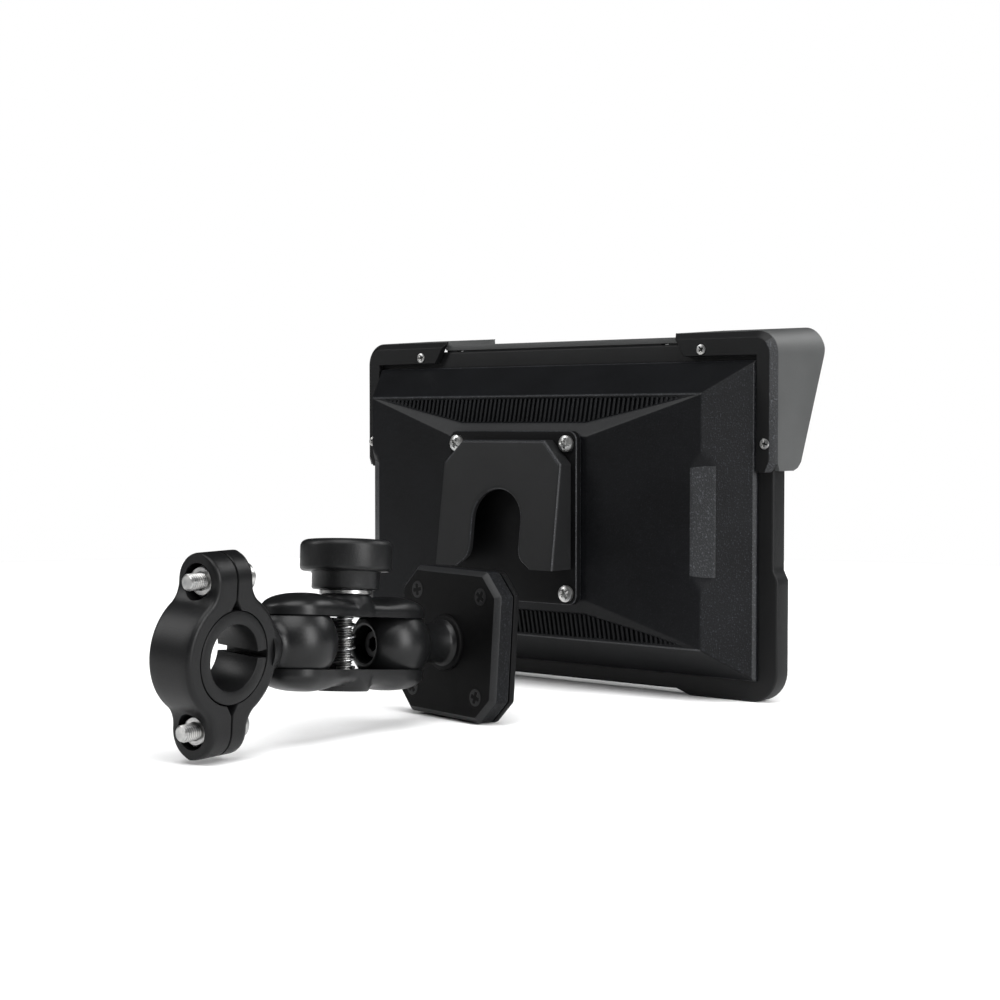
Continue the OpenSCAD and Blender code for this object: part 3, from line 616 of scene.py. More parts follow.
# Rows follow the creases from the middle out, columns stand close together beside each crease.
def buildShell():
    s = shell
    half = np.unique(np.concatenate([
        np.linspace(0, s["recess"][0], 22), around([s["recess"][0], s["flat"][0]], 0.3), np.linspace(33, 70, 44),
        around([s["grip"][0][0], s["ridge"][0] - 2.2, s["ridge"][0], s["grip"][1][0]]), np.linspace(72, 86.4, 24),
        s["rim"][0] - np.array([0.5, 0.3, 0.15, 0.0])]).round(3))
    half = half[half <= s["rim"][0]]
    xs = np.concatenate([-half[:0:-1], half])
    low, edge, ridge = shellLines(np.abs(xs))
    rim = np.full_like(xs, s["rim"][1])
    stops = [np.zeros_like(xs), low, edge, ridge, rim]
    fractions = [np.linspace(0, 1, 26) ** 0.9, np.linspace(0, 1, 7), np.linspace(0, 1, 12), np.linspace(0, 1, 12)]
    rows = []
    for a, b, f in zip(stops, stops[1:], fractions):
        rows += [a + (b - a) * t for t in f[:-1]]
    # extra rows hug the creases
    beside = ((low, (-0.5, -0.25, 0.25)), (edge, (-0.3, 0.3, 0.45, 0.7)),
              (ridge, (-1.4, -1.1, -0.8, -0.3, 0.3)), (rim, (-0.5, -0.3, -0.12)))
    for line, gaps in beside:
        rows += [np.clip(line + g, 0, s["rim"][1] - 0.02) for g in gaps]
    rows.append(rim)
    rows = np.sort(np.array(rows), axis=0)
    zs = np.concatenate([-rows[:0:-1], rows])
    x = np.broadcast_to(xs, zs.shape)
    depth = roundedDepth(x, zs)
    points = np.stack([x, -depth, zs + s["mid"]], -1)
    # a straight wall takes every border down to the frame
    points = np.pad(points, ((1, 1), (1, 1), (0, 0)), mode="edge")
    for border in (points[0], points[-1], points[:, 0], points[:, -1]):
        border[:, 1] = 0
    obj = makePiece("rearShell", [surface(points)], "monitor", "monitor", paint["shell"],
                    ["rear_shell"], smooth=50, weld=0.012, recalc=False)
    faceOut(obj, (0, -1, 0))
    addWall(obj, s["wall"])
    # the side facets have a coarse grain; the upper leaning bands get a painted highlight as if lit from above, and the
    # grip flats and the ridge and rim creases take the coarse grain with a painted highlight
    centre, normal = facesOf(obj, "monitor")
    x, z = np.abs(centre[:, 0]), np.abs(centre[:, 2] - s["mid"])
    low, edge, ridge = shellLines(x)
    (x0, d0), (x1, d1) = s["grip"]
    flat = d0 + (x - x0) * (d1 - d0) / (x1 - x0)
    onGrip = (np.abs(shellDepth(x, z) - flat) < 0.05) & (z < s["gripHalf"] + 0.2) & (x > x0)
    inRidge = (x < s["ridge"][0]) & (np.abs(z - ridge) < s["line"])
    inRim = (x > s["rim"][0] - 2 * s["line"]) | (z > s["rim"][1] - s["line"])
    ramped = np.abs(shellDepth(x, z) - flat - (z - s["gripHalf"]) * s["gripRamp"]) < 0.05
    repaint(obj, (x > s["ridge"][0]) & (z < ridge) & ~(ramped & (z > s["gripHalf"])), paint["side"])
    upper = centre[:, 2] > s["mid"]
    # painted highlight on the upper leaning bands only, as if lit from above
    repaint(obj, upper & (z > low) & (z < edge) & (x < s["ridge"][0] - 1), paint["slope"])
    # coarse grain with a painted highlight on the grip flats and along the ridge and rim creases
    repaint(obj, onGrip | ((inRidge | inRim) & (np.abs(normal[:, 1]) > 0.1)), paint["grainHighlight"])


# Each rib is a narrow rounded bar laid from the recess's edge to the ridge; its top follows the sunk band.
def buildRibs():
    s = shell
    count = int((s["ridge"][0] - 3) // s["ribPitch"])
    xs = np.arange(-count, count + 1) * s["ribPitch"]
    _, edge, _ = shellLines(np.abs(xs))
    lowEnd, highEnd = edge + 0.1, np.full_like(xs, s["ridge"][1] - 0.9)
    t = np.array([0, 0.04, 0.96, 1.0])
    lift = np.array([-0.25, 0, 0, -0.25])
    z = lowEnd[:, None] + (highEnd - lowEnd)[:, None] * t
    top = s["ridgeDepth"] + (s["ridge"][1] - z) * (s["recessDepth"] - s["ridgeDepth"]) / (
        s["ridge"][1] - s["recess"][1]) + lift - 0.12
    w = s["ribWide"] / 2
    side = np.array([-w, -w * 0.9, -w * 0.5, w * 0.5, w * 0.9, w])
    drop = np.array([1.7, 0.25, 0.0, 0.0, 0.25, 1.7])
    parts = []
    for sign in (1, -1):
        for i, x in enumerate(xs):
            if highEnd[i] - lowEnd[i] < 0.8:
                continue
            grid = np.stack([
                np.broadcast_to(x + side, (4, 6)), -(top[i][:, None] - drop),
                np.broadcast_to((sign * z[i])[:, None] + s["mid"], (4, 6))], -1)
            parts.append(surface(grid, wrapV=True, capU=True))
    makePiece("ventRibs", parts, "monitor", "monitor", paint["shell"], smooth=30, weld=0.001)


buildShell()
buildRibs()
say("rear shell and ribs")

bezel = dict(half=93.0, height=121.5, thick=8.0, radius=9.0, edge=1.3, bump=2.0, bumpSide=1.7,
             bumpFrom=57.6, bumpTo=40.5, window=(78.0, 18.6, 106.6), hollow=(84.0, 8.0, 112.6),
             hollowDepth=6.0, rearEdge=0.8, glassStep=0.5)


# A profile carried round the frame's outline: rear face, rounded outer edge, front face, window edge. The two
# lower corners swell outwards by the bumpers' thickness.
def buildBezel():
    b = bezel
    steps = 60
    outer = roundedRect(b["half"], 0, b["height"], b["radius"], 10, steps)
    window = roundedRect(*b["window"], 1.0, 10, steps)
    hollow = roundedRect(*b["hollow"], 1.0, 10, steps)
    normal = outlineNormals(outer)
    x, z = np.abs(outer[:, 0]), outer[:, 1]
    under = (z < b["height"] / 2) * np.clip((x - b["bumpFrom"] + 3) / 3, 0, 1)
    beside = np.clip((b["bumpTo"] + 2.5 - z) / 2.5, 0, 1) * (x > b["half"] - b["radius"])
    onCorner = np.where(z < 0.01, under, np.where(x > b["half"] - 0.01, beside, 1.0 * (z < b["radius"])))
    amount = onCorner * (b["bumpSide"] + (b["bump"] - b["bumpSide"]) * np.abs(normal[:, 1]))
    swollen = outer + normal * amount[:, None]

    def ring(line, y):
        return np.stack([line[:, 0], np.full(len(line), y), line[:, 1]], -1)

    e, t, rear = b["edge"], b["thick"], b["rearEdge"]
    rings = [ring(hollow, b["hollowDepth"]), ring(hollow, 0.0)]
    for a in np.radians(np.linspace(90, 0, 5)):
        rings.append(ring(swollen - normal * rear * (1 - math.cos(a)), rear * (1 - math.sin(a))))
    for a in np.radians(np.linspace(0, 90, 6)):
        rings.append(ring(swollen - normal * e * (1 - math.cos(a)), t - e * (1 - math.sin(a))))
    rings += [ring(window + (swollen - window) * 0.04, t), ring(window, t - b["glassStep"]),
              ring(window, b["hollowDepth"])]
    makePiece("frontFrame", [surface(np.array(rings), wrapV=True, wrapU=True)], "monitor", "monitor",
              paint["frame"], ["front_bezel"], smooth=40)


buildBezel()
say("front frame")

hood = dict(half=94.9, top=125.2, radius=8.0, flare=1.4, rise=2.2, depth=28.8, wall=2.0, rear=-2.7, low=77.5,
            saddle=53.0, saddleTop=124.0, saddleY=0.3, chamfer=2.2,
            lips=((-54.5, -49.3), (-46.3, 46.3), (49.3, 54.5)))


# How far forward the side wing reaches at a height: short below, slanting out to the hood's front.
def hoodFront(z):
    return np.interp(z, [77.3, 77.5, 78.4, 80.4, 117.0, 119.5, 122], [9, 9, 11.5, 13.6, 27.6, 28.7, 29.0])


# Sheet carried over the frame from one wing's foot to the other. Each line runs from rear to front, leaning out
# and up; between the flanges the sheet steps down and lies flat over the frame. Solidify gives it its wall.
def buildHood():
    h = hood
    r = h["radius"]
    heights = np.concatenate([np.linspace(h["low"], 82, 10), np.linspace(84, h["top"] - r, 16)])
    right = np.stack([np.full(len(heights), h["half"]), heights], -1)
    corner = arc(h["half"] - r, h["top"] - r, r, 0, 90, 12)[1:]
    across = np.concatenate([np.linspace(h["half"] - r, h["saddle"] + 1.2, 10)[1:],
                             h["saddle"] + np.array([0.7, 0.35, 0.15, -0.15, -0.35, -0.7]), np.linspace(51, 0, 12)])
    top = np.stack([across, np.full(len(across), h["top"])], -1)
    half = np.concatenate([right, corner, top])
    line = np.concatenate([half, (half * [-1, 1])[-2::-1]])
    inSaddle = np.abs(line[:, 0]) < h["saddle"]
    front = np.minimum(np.where(line[:, 1] < h["top"], hoodFront(line[:, 1]), h["depth"]), h["depth"])
    rear = np.where(inSaddle, h["saddleY"], between(line[:, 1], h["low"], 80, 0.5, h["rear"] + h["chamfer"]))
    t = np.concatenate([[0, 0.02], np.linspace(0.06, 0.94, 14), [0.98, 1]])
    y = rear[:, None] + (front - rear)[:, None] * t
    grow = (y - h["rear"]) / (h["depth"] - h["rear"])
    onTop = np.clip((line[:, 1] - (h["top"] - r)) / r, 0, 1)[:, None]
    x = line[:, :1] * (1 + grow * h["flare"] / h["half"])
    z = line[:, 1:] + grow * h["rise"] * onTop
    z = np.where(inSaddle[:, None], h["saddleTop"], z)
    obj = makePiece("sunshadeHood", [surface(np.stack([x, y, z], -1))], "monitor", "monitor", paint["shade"],
                    ["sunshade"], smooth=40, recalc=False)
    faceOut(obj, (0, 0, 1))
    addWall(obj, h["wall"], even=True)
    softenEdges(obj, 0.35, 55)


# Angled plates behind the frame's upper corners. The rim towards the outside is a flat chamfer, the rims towards
# the shell are sharp: each outline point moves in by the chamfer only where it lies on the outer border.
def buildFlanges():
    h = hood
    c = h["chamfer"]
    outline = np.concatenate([
        [[58, 117], [87.6, 117], [87.6, 77.0], [92.2, 77.0], [h["half"], 80.0], [h["half"], 100.0]],
        arc(h["half"] - 8, h["top"] - 8, 8, 0, 90, 13), [[70, h["top"]], [53, h["top"]]]])
    inner = np.array([*outline[:3], (91.0, 77.0), (h["half"] - c, 80.9), (h["half"] - c, 100.0)])
    inner = np.concatenate([inner, arc(h["half"] - 8, h["top"] - 8, 8 - c, 0, 90, 13),
                            [[70, h["top"] - c], [53 + c * 5 / 8.2, h["top"] - c]]])
    lips = []
    for lo, hi in h["lips"]:
        lip = roundedRect((hi - lo) / 2, 121.5, h["saddleTop"] - 1.6, 0.15)
        lips.append(moved(slabOf(lip, 0.6, 3.0, 0.1), ((lo + hi) / 2, 0, 0)))
    makePiece("sunshadeLip", lips, "monitor", "monitor", paint["frame"], smooth=30)
    parts = []
    for side in (1, -1):
        rows = []
        for y, mix in ((h["rear"], 1), (h["rear"] + c, 0), (-0.15, 0)):
            p = (outline * (1 - mix) + inner * mix) * [side, 1]
            rows.append(np.stack([p[:, 0], np.full(len(p), y), p[:, 1]], -1))
        parts.append(surface(np.array(rows), wrapV=True, capU=True))
    obj = makePiece("sunshadeFlanges", parts, "monitor", "monitor", paint["frame"], smooth=30)
    softenEdges(obj, 0.25, 25)
    # the chamfer keeps the coarse grain of the grip flats, with their painted highlight
    normal = facesOf(obj, "monitor")[1]
    repaint(obj, (np.abs(normal[:, 0]) > 0.5) & (normal[:, 1] < -0.5), paint["grainHighlight"])


buildHood()
buildFlanges()
say("sunshade")


# Screw head facing -Y about the origin: a shallow dome less a cross whose arms have sloping sides.
def crossHead(radius, height, slotDepth, dome=0.35, n=56, rings=15, countersunk=False):
    r = np.concatenate([np.linspace(0, 0.93, rings), [0.97, 1.0]])[:, None] * radius
    c, s = circlePoints(n)
    x, z = r * c, r * s
    rr = r / radius + 0 * c
    top = -height + (height * dome) * rr ** 2.4
    ax, az = np.abs(x), np.abs(z)
    arm, wide = radius * 0.64, radius * 0.17

    def soft(v):
        return np.clip(v / (radius * 0.09) + 0.5, 0, 1)

    cross = np.maximum(soft(arm - ax) * soft(wide - az), soft(arm - az) * soft(wide - ax))
    top = top + cross * slotDepth * (1 - 0.5 * rr)
    face = np.stack([x, top, z], -1)
    if countersunk:
        foot = [(1.0, 0.25), (0.55, 1.5), (0.5, 2.6)]
    else:
        foot = [(1.03, -height * 0.35), (1.0, 0.0), (0.5, 0.01), (0.48, 2.5)]
    skirt = np.array([[np.stack([radius * k * c, np.full(n, y), radius * k * s], -1)] for k, y in foot])[:, 0]
    return surface(np.concatenate([face, skirt]), wrapV=True, capU=True)


screws = dict(bracket=[(x, z) for x in (-25.3, 25.3) for z in (33.9, 86.6)],
              shade=[(s * x, z) for s in (-1, 1) for x, z in ((65.2, 119.3), (91.0, 86.7))],
              turns=(18, 63, 35, 80), bracketY=-27.0, shadeY=-2.65,
              bracketHead=dict(radius=2.9, height=1.9, slotDepth=1.3),
              shadeHead=dict(radius=1.75, height=0.6, slotDepth=0.7, n=44, rings=12))


def buildMonitorScrews():
    c = screws
    for name, key, node in (("bracketScrews", "bracket", "bracket_screws"),
                            ("sunshadeScrews", "shade", "sunshade_screws")):
        head = crossHead(**c[key + "Head"])
        parts = [moved(spun(head, a), (x, c[key + "Y"], z)) for (x, z), a in zip(c[key], c["turns"])]
        makePiece(name, parts, "monitor", "monitor", paint["zinc"], [node], smooth=28)


buildMonitorScrews()

dock = dict(half=29.3, low=29.9, high=91.1, back=-24.0, plate=-27.0, cutSide=3.2, pocketHalf=27.0, pocketLow=42.5,
            shoulder=79.6, crown=87.9, crownHalf=18.9, frontTop=-32.0, frontLow=-38.0, wall=1.9, slot=11.1,
            slotTop=59.3, flareTop=49.5, flareHalf=17.0)


# n points spaced evenly along a polyline, its own corners kept by moving the nearest point onto each.
def evenly(points, n):
    p = np.asarray(points, float)
    run = np.concatenate([[0], np.cumsum(np.linalg.norm(np.diff(p, axis=0), axis=1))])
    t = np.linspace(0, run[-1], n)
    for r in run:
        t[np.argmin(np.abs(t - r))] = r
    return np.stack([np.interp(t, run, p[:, 0]), np.interp(t, run, p[:, 1])], -1)


# Base plate, and a pocket wall whose profile runs up the side, over the leaning front, round the slot's edge
# and back down inside; the profile is carried from one lower end to the other.
def buildDock():
    d = dock
    base = roundedRect(d["half"], d["low"], d["high"], d["cutSide"], 4, 1)
    plate = makePiece("dockBase", [slabOf(base, d["plate"], d["back"], 0.5, 3)], "monitor", "monitor", paint["bracket"],
                      smooth=30)
    # painted highlight with coarse grain on the base plate's slanted rims
    lean = np.abs(facesOf(plate, "monitor")[1][:, 1])
    repaint(plate, (lean > 0.2) & (lean < 0.95), paint["grainHighlight"])
    n = 121
    w, lo = d["pocketHalf"], d["pocketLow"]

    # the pocket's outline, moved in by inset; its slanted corners move in by less
    def path(inset):
        side, slant = w - inset, 0.4 * inset
        shoulder, crown, crownHalf = d["shoulder"] - slant, d["crown"] - inset, d["crownHalf"] - slant
        return evenly([(-side, lo), (-side, shoulder), (-crownHalf, crown), (crownHalf, crown), (side, shoulder),
                       (side, lo)], n)

    flare = arc(-d["flareHalf"] - 0.1, d["flareTop"] + 0.2, 6.0, -78, 0, 8)
    slotHalf = np.concatenate([[(-d["flareHalf"], lo)], flare[1:], [(-d["slot"], d["slotTop"])],
                               arc(0, d["slotTop"], d["slot"], 180, 90, 14)[1:]])
    slot = evenly(np.concatenate([slotHalf, (slotHalf * [-1, 1])[-2::-1]]), n)
    slope = (d["frontLow"] - d["frontTop"]) / (lo - d["crown"])

    def at(line, lift=None, y=None):
        front = d["frontTop"] + (line[:, 1] - d["crown"]) * slope
        yy = np.full(n, y) if y is not None else front + lift
        return np.stack([line[:, 0], yy, line[:, 1]], -1)

    outside, rimLine, inside = path(0), path(1.1), path(d["wall"])
    foot = d["plate"] + 0.4
    rows = [at(outside, y=foot), at(outside, 1.2), at(path(0.12), 0.62), at(path(0.45), 0.2), at(rimLine, 0.0),
            at(rimLine * 0.1 + slot * 0.9, 0.0), at(rimLine * 0.03 + slot * 0.97, 0.08), at(slot, 0.35),
            at(slot, d["wall"]), at(inside, d["wall"]), at(inside, y=foot)]
    obj = makePiece("dockPocket", [surface(np.array(rows).transpose(1, 0, 2), wrapV=True, capU=True)], "monitor",
                    "monitor", paint["pocket"], ["dock_bracket"], smooth=32)
    # painted highlight with coarse grain on the pocket's slanted faces
    lean = np.abs(facesOf(obj, "monitor")[1][:, 1])
    repaint(obj, (lean > 0.25) & (lean < 0.93), paint["grainHighlight"])
    even = obj.modifiers.new("even", "WEIGHTED_NORMAL")
    even.keep_sharp = True


buildDock()
say("dock bracket and screws")

arm = dict(gap=8.0, top=14.7, spacing=23.0, endR=10.5, waist=8.6, bossR=8.3, cup=13.0, rim=1.6, saddle=13.3, crest=20.0,
           web=(-7.0, -5.0), webHalf=9.0)


# Half of the arm's width at a point along it: a round end, a waist and the round boss.
def armHalfWidth(y):
    a = arm
    y = np.abs(y)
    end = np.sqrt(np.maximum(a["endR"] ** 2 - np.maximum(y - a["spacing"], 0) ** 2, 0))
    waist = a["waist"] + (a["endR"] - a["waist"]) * (0.5 - 0.5 * np.cos(np.clip((y - 3) / 17, 0, 1) * math.pi))
    boss = np.sqrt(np.maximum(a["bossR"] ** 2 - y ** 2, 0))
    return np.where(y > a["spacing"], end, np.maximum(waist, boss))


# Outer height: a dome over each ball that falls to a saddle, and a flat boss in the middle.
def armTop(x, y, w):
    a = arm
    ay = np.abs(y)
    crestAt, edge = a["crest"], a["gap"] + a["rim"]
    dome = np.sqrt(np.clip(1 - (np.clip(ay - crestAt, 0, None) / 13.6) ** 2, 0, 1))
    ridge = edge + (a["top"] - edge) * dome
    fall = 0.5 - 0.5 * np.cos(np.clip((crestAt - ay) / 11.5, 0, 1) * math.pi)
    lengthwise = a["top"] - (a["top"] - a["saddle"]) * fall
    crest = np.where(ay > crestAt, ridge, lengthwise)
    across = np.clip(1 - np.abs(x / np.maximum(w, 1e-6)) ** 2.6, 0, 1) ** (1 / 2.2)
    z = edge + (crest - edge) * across
    step = np.clip((np.hypot(x, y) - a["bossR"] + 0.9) / 2.4, 0, 1)
    boss = a["top"] - (a["top"] - edge) * step ** 2 * (3 - 2 * step)
    return np.maximum(z, boss)


# Inner height: flat at the gap, with a round cup over each ball.
def armInside(x, y):
    a = arm
    r2 = x ** 2 + (np.abs(y) - a["spacing"]) ** 2
    return np.maximum(a["gap"], np.sqrt(np.maximum(a["cup"] ** 2 - r2, 0)))


# Lines across the arm wrap over its outside and back through its inside.
def buildArmHalf(name, sign, body, node):
    a = arm
    end = a["spacing"] + a["endR"]
    outerEnd = end - (end - a["crest"]) * (1 - np.sin(np.linspace(0, math.pi / 2, 26)))
    ys = np.unique(np.concatenate([np.linspace(0, 7, 12), np.linspace(7.3, 10.6, 14), np.linspace(11, a["crest"], 16),
                                   np.minimum(outerEnd, end - 0.003)]).round(4))
    ys = np.concatenate([-ys[:0:-1], ys])
    s = np.sin(np.linspace(-1, 1, 41) * math.pi / 2)
    w = np.maximum(armHalfWidth(ys), 0.15)[:, None]
    x = w * s
    y = np.broadcast_to(ys[:, None], x.shape)
    outer = np.stack([x, y, armTop(x, y, w)], -1)
    wall = np.clip(w - 0.25, 0.05, None)
    xi = wall * s[::-1]
    inner = np.stack([xi, y, armInside(xi, y)], -1)
    rimIn = np.stack([w * s[::-1], y, np.full_like(y, a["gap"])], -1)[:, [0, -1]]
    points = np.concatenate([outer, rimIn[:, :1], inner, rimIn[:, 1:]], axis=1)
    points[..., 2] *= sign
    makePiece(name, [surface(points, wrapV=True, capU=True)], "arm", body, paint["coat"], [node],
              smooth=38)


buildArmHalf("armUpperHalf", 1, "arm_upper", "arm_upper")
buildArmHalf("armLowerHalf", -1, "arm_lower", "arm_lower")


# Upright wall behind the spring: a rounded outline across the arm with a small thickness.
def buildArmWeb():
    a = arm
    lo, hi = a["web"]
    outline = roundedRect(a["webHalf"], -a["gap"] - 0.5, a["gap"] - 0.25, 0.3)
    v, f = slabOf(outline, lo, hi, 0.3)
    makePiece("armWeb", [(v[:, [1, 0, 2]], f)], "arm", "arm_lower", paint["coat"], smooth=30)


buildArmWeb()


# Threaded rod up +Z from 0: a ridge that climbs one pitch each turn, with chamfered ends.
def threaded(radius, pitch, length, perTurn=8, n=28, tip=0.6, depth=0.38):
    z = np.linspace(0, length, int(length / pitch * perTurn))[:, None]
    a = np.linspace(0, 2 * math.pi, n, endpoint=False)
    phase = (z / pitch - a / (2 * math.pi)) % 1.0
    r = radius - depth * (1 - np.abs(2 * phase - 1)) ** 1.3
    r = np.minimum(r, radius - tip * np.clip(1 - z / tip, 0, 1))
    r = np.minimum(r, radius - tip * np.clip(1 - (length - z) / tip, 0, 1))
    return surface(np.stack([r * np.cos(a), r * np.sin(a), z + 0 * a], -1), wrapV=True, capU=True)


# Six-sided nut or head from z = 0 to height; a cone trims the corners of both faces.
def hexPrism(flat, height, bore=0.0, n=72, chamfer=0.35):
    a = np.linspace(0, 2 * math.pi, n, endpoint=False)
    r = flat / np.cos((a + math.pi / 6) % (math.pi / 3) - math.pi / 6)
    cut = np.clip((r - flat) * 0.6, 0, None)
    inner = np.full(n, max(bore, 0.02))
    rows = [(inner, 0.0 * a), (np.minimum(r, flat - 0.15), 0.0 * a), (r, cut + 0.12), (r, height - cut - 0.12),
            (np.minimum(r, flat - 0.15), height + 0 * a), (inner + (0.25 if bore else 0), height + 0 * a)]
    if bore:
        rows += [(inner, height - 0.3 + 0 * a)]
    points = np.array([np.stack([q * np.cos(a), q * np.sin(a), h], -1) for q, h in rows])
    return surface(points, wrapV=True, wrapU=bool(bore), capU=not bore)


# Lays a part made up +Z along the axis 'y' or '-y', starting at a point.
def along(part, start, towards):
    v = part[0]
    sign = 1 if towards == "y" else -1
    turned = np.stack([v[:, 0], sign * v[:, 2], -sign * v[:, 1]], -1)
    return turned + np.asarray(start, float), part[1]


# How deep each point lies in the thread, from its distance to the rod's axis, stored as the amount of painted groove
# shade; heads and ends keep 0.
def markGrooveShade(obj, place, centre, axis, limits, radius=2.5, depth=0.38):
    count = len(obj.data.vertices)
    at = np.empty(count * 3)
    obj.data.vertices.foreach_get("co", at)
    turn = places[place][:3, :3] / mm
    at = (at.reshape(-1, 3) - places[place][:3, 3]) @ turn / mm - centre
    r = np.linalg.norm(np.delete(at, axis, 1), axis=1)
    inside = (at[:, axis] > limits[0]) & (at[:, axis] < limits[1])
    grooveShade = obj.data.attributes.new("grooveShade", "FLOAT", "POINT")
    grooveShade.data.foreach_set("value", np.where(inside, np.clip((radius - 0.08 - r) / depth, 0, 1), 0).astype(np.float32))


boltCard = dict(radius=2.5, pitch=0.8, foot=-11.2, length=39.0, headFlat=4.0, headHigh=3.3, headZ=-14.7,
                grooves=(-10.5, 27.5), springR=3.15, wire=0.38, turns=5.0, springHold=6.5,
                washer=((2.7, 14.75), (7.8, 14.75), (8.0, 14.95), (8.0, 15.85), (7.8, 16.1), (2.7, 16.1)))


def buildArmHardware():
    b = boltCard
    rod = moved(threaded(b["radius"], b["pitch"], b["length"]), (0, 0, b["foot"]))
    head = moved(hexPrism(b["headFlat"], b["headHigh"]), (0, 0, b["headZ"]))
    bolt = makePiece("armBolt", [rod, head], "arm", "arm_lower", paint["thread"], ["arm_bolt"], smooth=40)
    markGrooveShade(bolt, "arm", (0, 0, 0), 2, b["grooves"])
    makePiece("armWasher", [revolve(b["washer"], 72)], "arm", "arm_upper", paint["zinc"],
              ["arm_washer"], smooth=30)
    # tube round a helix; its first and last half turns close up flat against the arm
    n, m = 260, 10
    t = np.linspace(0, 1, n)[:, None]
    phi = 2 * math.pi * b["turns"] * t
    climb = np.interp(t, [0, 0.09, 0.91, 1], [0, 0.035, 0.965, 1])
    z = (arm["gap"] - b["wire"] - 0.1) * (2 * climb - 1)
    k = np.linspace(0, 2 * math.pi, m, endpoint=False)
    r = b["springR"] + b["wire"] * np.cos(k)
    points = np.stack([r * np.cos(phi), r * np.sin(phi), z + b["wire"] * np.sin(k)], -1)
    coil = makePiece("armSpring", [surface(points, wrapV=True, capU=True)], "arm", "arm_lower", paint["spring"],
                     ["arm_spring"], smooth=80, ride=False)
    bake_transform(coil)


buildArmHardware()

knob = dict(collarZ=16.25, collarR=10.4, capZ=21.8, capR=14.1, top=31.4, well=10.6, floor=28.9, lobes=5,
            insert=((2.65, 16.3), (3.85, 16.3), (3.85, 30.0), (3.5, 30.4), (2.9, 30.4), (2.65, 30.1)))


# Collar and cap turned as one profile; the well's wall waves in and out in lobes.
def buildKnob():
    k = knob
    prof = [(3.9, k["collarZ"]), (k["collarR"] - 0.7, k["collarZ"])]
    prof += [tuple(p) for p in arc(k["collarR"] - 0.7, k["collarZ"] + 0.7, 0.7, -90, 0, 4)[1:]]
    prof += [(k["collarR"], k["capZ"] - 0.8), (k["collarR"] + 0.35, k["capZ"] - 0.15), (k["collarR"] + 0.9, k["capZ"])]
    prof += [tuple(p) for p in arc(k["capR"] - 1.3, k["capZ"] + 1.3, 1.3, -90, 0, 6)]
    prof += [tuple(p) for p in arc(k["capR"] - 2.2, k["top"] - 2.2, 2.2, 0, 90, 9)]
    well, floor = k["well"], k["floor"]
    prof += [(well + 0.5, k["top"]), (well + 0.1, k["top"] - 0.3), (well, k["top"] - 0.8), (well - 0.1, floor + 0.4),
             (well - 0.6, floor), (6.4, floor), (6.0, floor + 0.9), (5.4, floor + 1.2), (3.9, floor + 1.2)]
    prof = np.array(prof)
    n = 120
    a = np.linspace(0, 2 * math.pi, n, endpoint=False)
    wave = 1.1 * np.cos(k["lobes"] * a)
    inWell = (prof[:, 0] < well + 0.2) & (prof[:, 0] > 6.6) & (prof[:, 1] > floor - 0.1)
    inside = np.clip((k["top"] - 0.1 - prof[:, 1]) / 0.7, 0, 1) * inWell
    r = prof[:, :1] + np.where(inside[:, None] > 0, -0.6 + wave, 0) * inside[:, None]
    points = np.stack([r * np.cos(a), r * np.sin(a), prof[:, 1:] + 0 * a], -1)
    makePiece("knob", [surface(points, wrapV=True, wrapU=True)], "arm", "knob", paint["knobNylon"],
              ["knob"], smooth=40)
    makePiece("knobInsert", [revolve(k["insert"], 48)], "arm", "knob", paint["brass"], ["knob_insert"],
              smooth=30)


buildKnob()
say("arm and knob")

ballCard = dict(radius=12.7, cut=10.4, bore=5.8, deep=-2.0, neck=6.3,
                footIn=dict(plate=1.5, clamp=20.0))      # from each reach back to the neck's foot


# Profile turned about Y: bore, lip, round body, and a neck that flares into the foot.
def ballParts(reach, side):
    b = ballCard
    lip = math.sqrt(b["radius"] ** 2 - b["cut"] ** 2)
    neckFrom = math.degrees(math.asin(b["neck"] / b["radius"]))
    start = math.degrees(math.acos(-b["cut"] / b["radius"]))
    body = [(b["radius"] * math.sin(math.radians(t)), b["radius"] * math.cos(math.radians(t)))
            for t in np.linspace(start - 1.5, neckFrom + 5, 34)]
    foot = [(b["neck"] + 0.5, body[-1][1] + 0.7), (b["neck"], body[-1][1] + 1.6), (b["neck"], reach - 1.6),
            (b["neck"] + 0.45, reach - 0.6), (b["neck"] + 1.2, reach)]
    bore, face = b["bore"], -b["cut"]
    prof = [(0.05, b["deep"]), (bore, b["deep"]), (bore, face + 0.5), (bore + 0.3, face + 0.08), (bore + 0.6, face),
            (lip - 0.4, face)] + body + foot
    part = revolve(prof, 80, axis="y")
    if side < 0:
        part = (part[0] * [1, -1, 1], part[1])
    return part


# Cap screw head in the ball's bore, with a six-sided socket.
def socketHead(side):
    n = 72
    a = np.linspace(0, 2 * math.pi, n, endpoint=False)
    hexagon = 2.0 / np.cos((a + math.pi / 6) % (math.pi / 3) - math.pi / 6)
    one = np.ones(n)
    rows = [(0.02 * one, -4.2), (hexagon * 0.97, -4.2), (hexagon, -6.8), (hexagon + 0.2, -7.0), (3.9 * one, -7.0),
            (4.25 * one, -6.65), (4.25 * one, -2.0), (0.02 * one, -2.0)]
    points = np.array([np.stack([r * np.cos(a), np.full(n, side * y), r * np.sin(a)], -1) for r, y in rows])
    return surface(points, wrapV=True, capU=True)


def buildBalls():
    for item, reach, side in (("plate", plateReach, 1), ("clamp", clampReach, -1)):
        place = item + "Ball"
        makePiece(place, [ballParts(reach - ballCard["footIn"][item], side)], place, item, paint["coat"],
                  [item + "_ball"], smooth=35)
        makePiece(place + "Screw", [socketHead(side)], place, item, paint["blackScrew"],
                  [item + "_ball_screw"], smooth=30)


buildBalls()

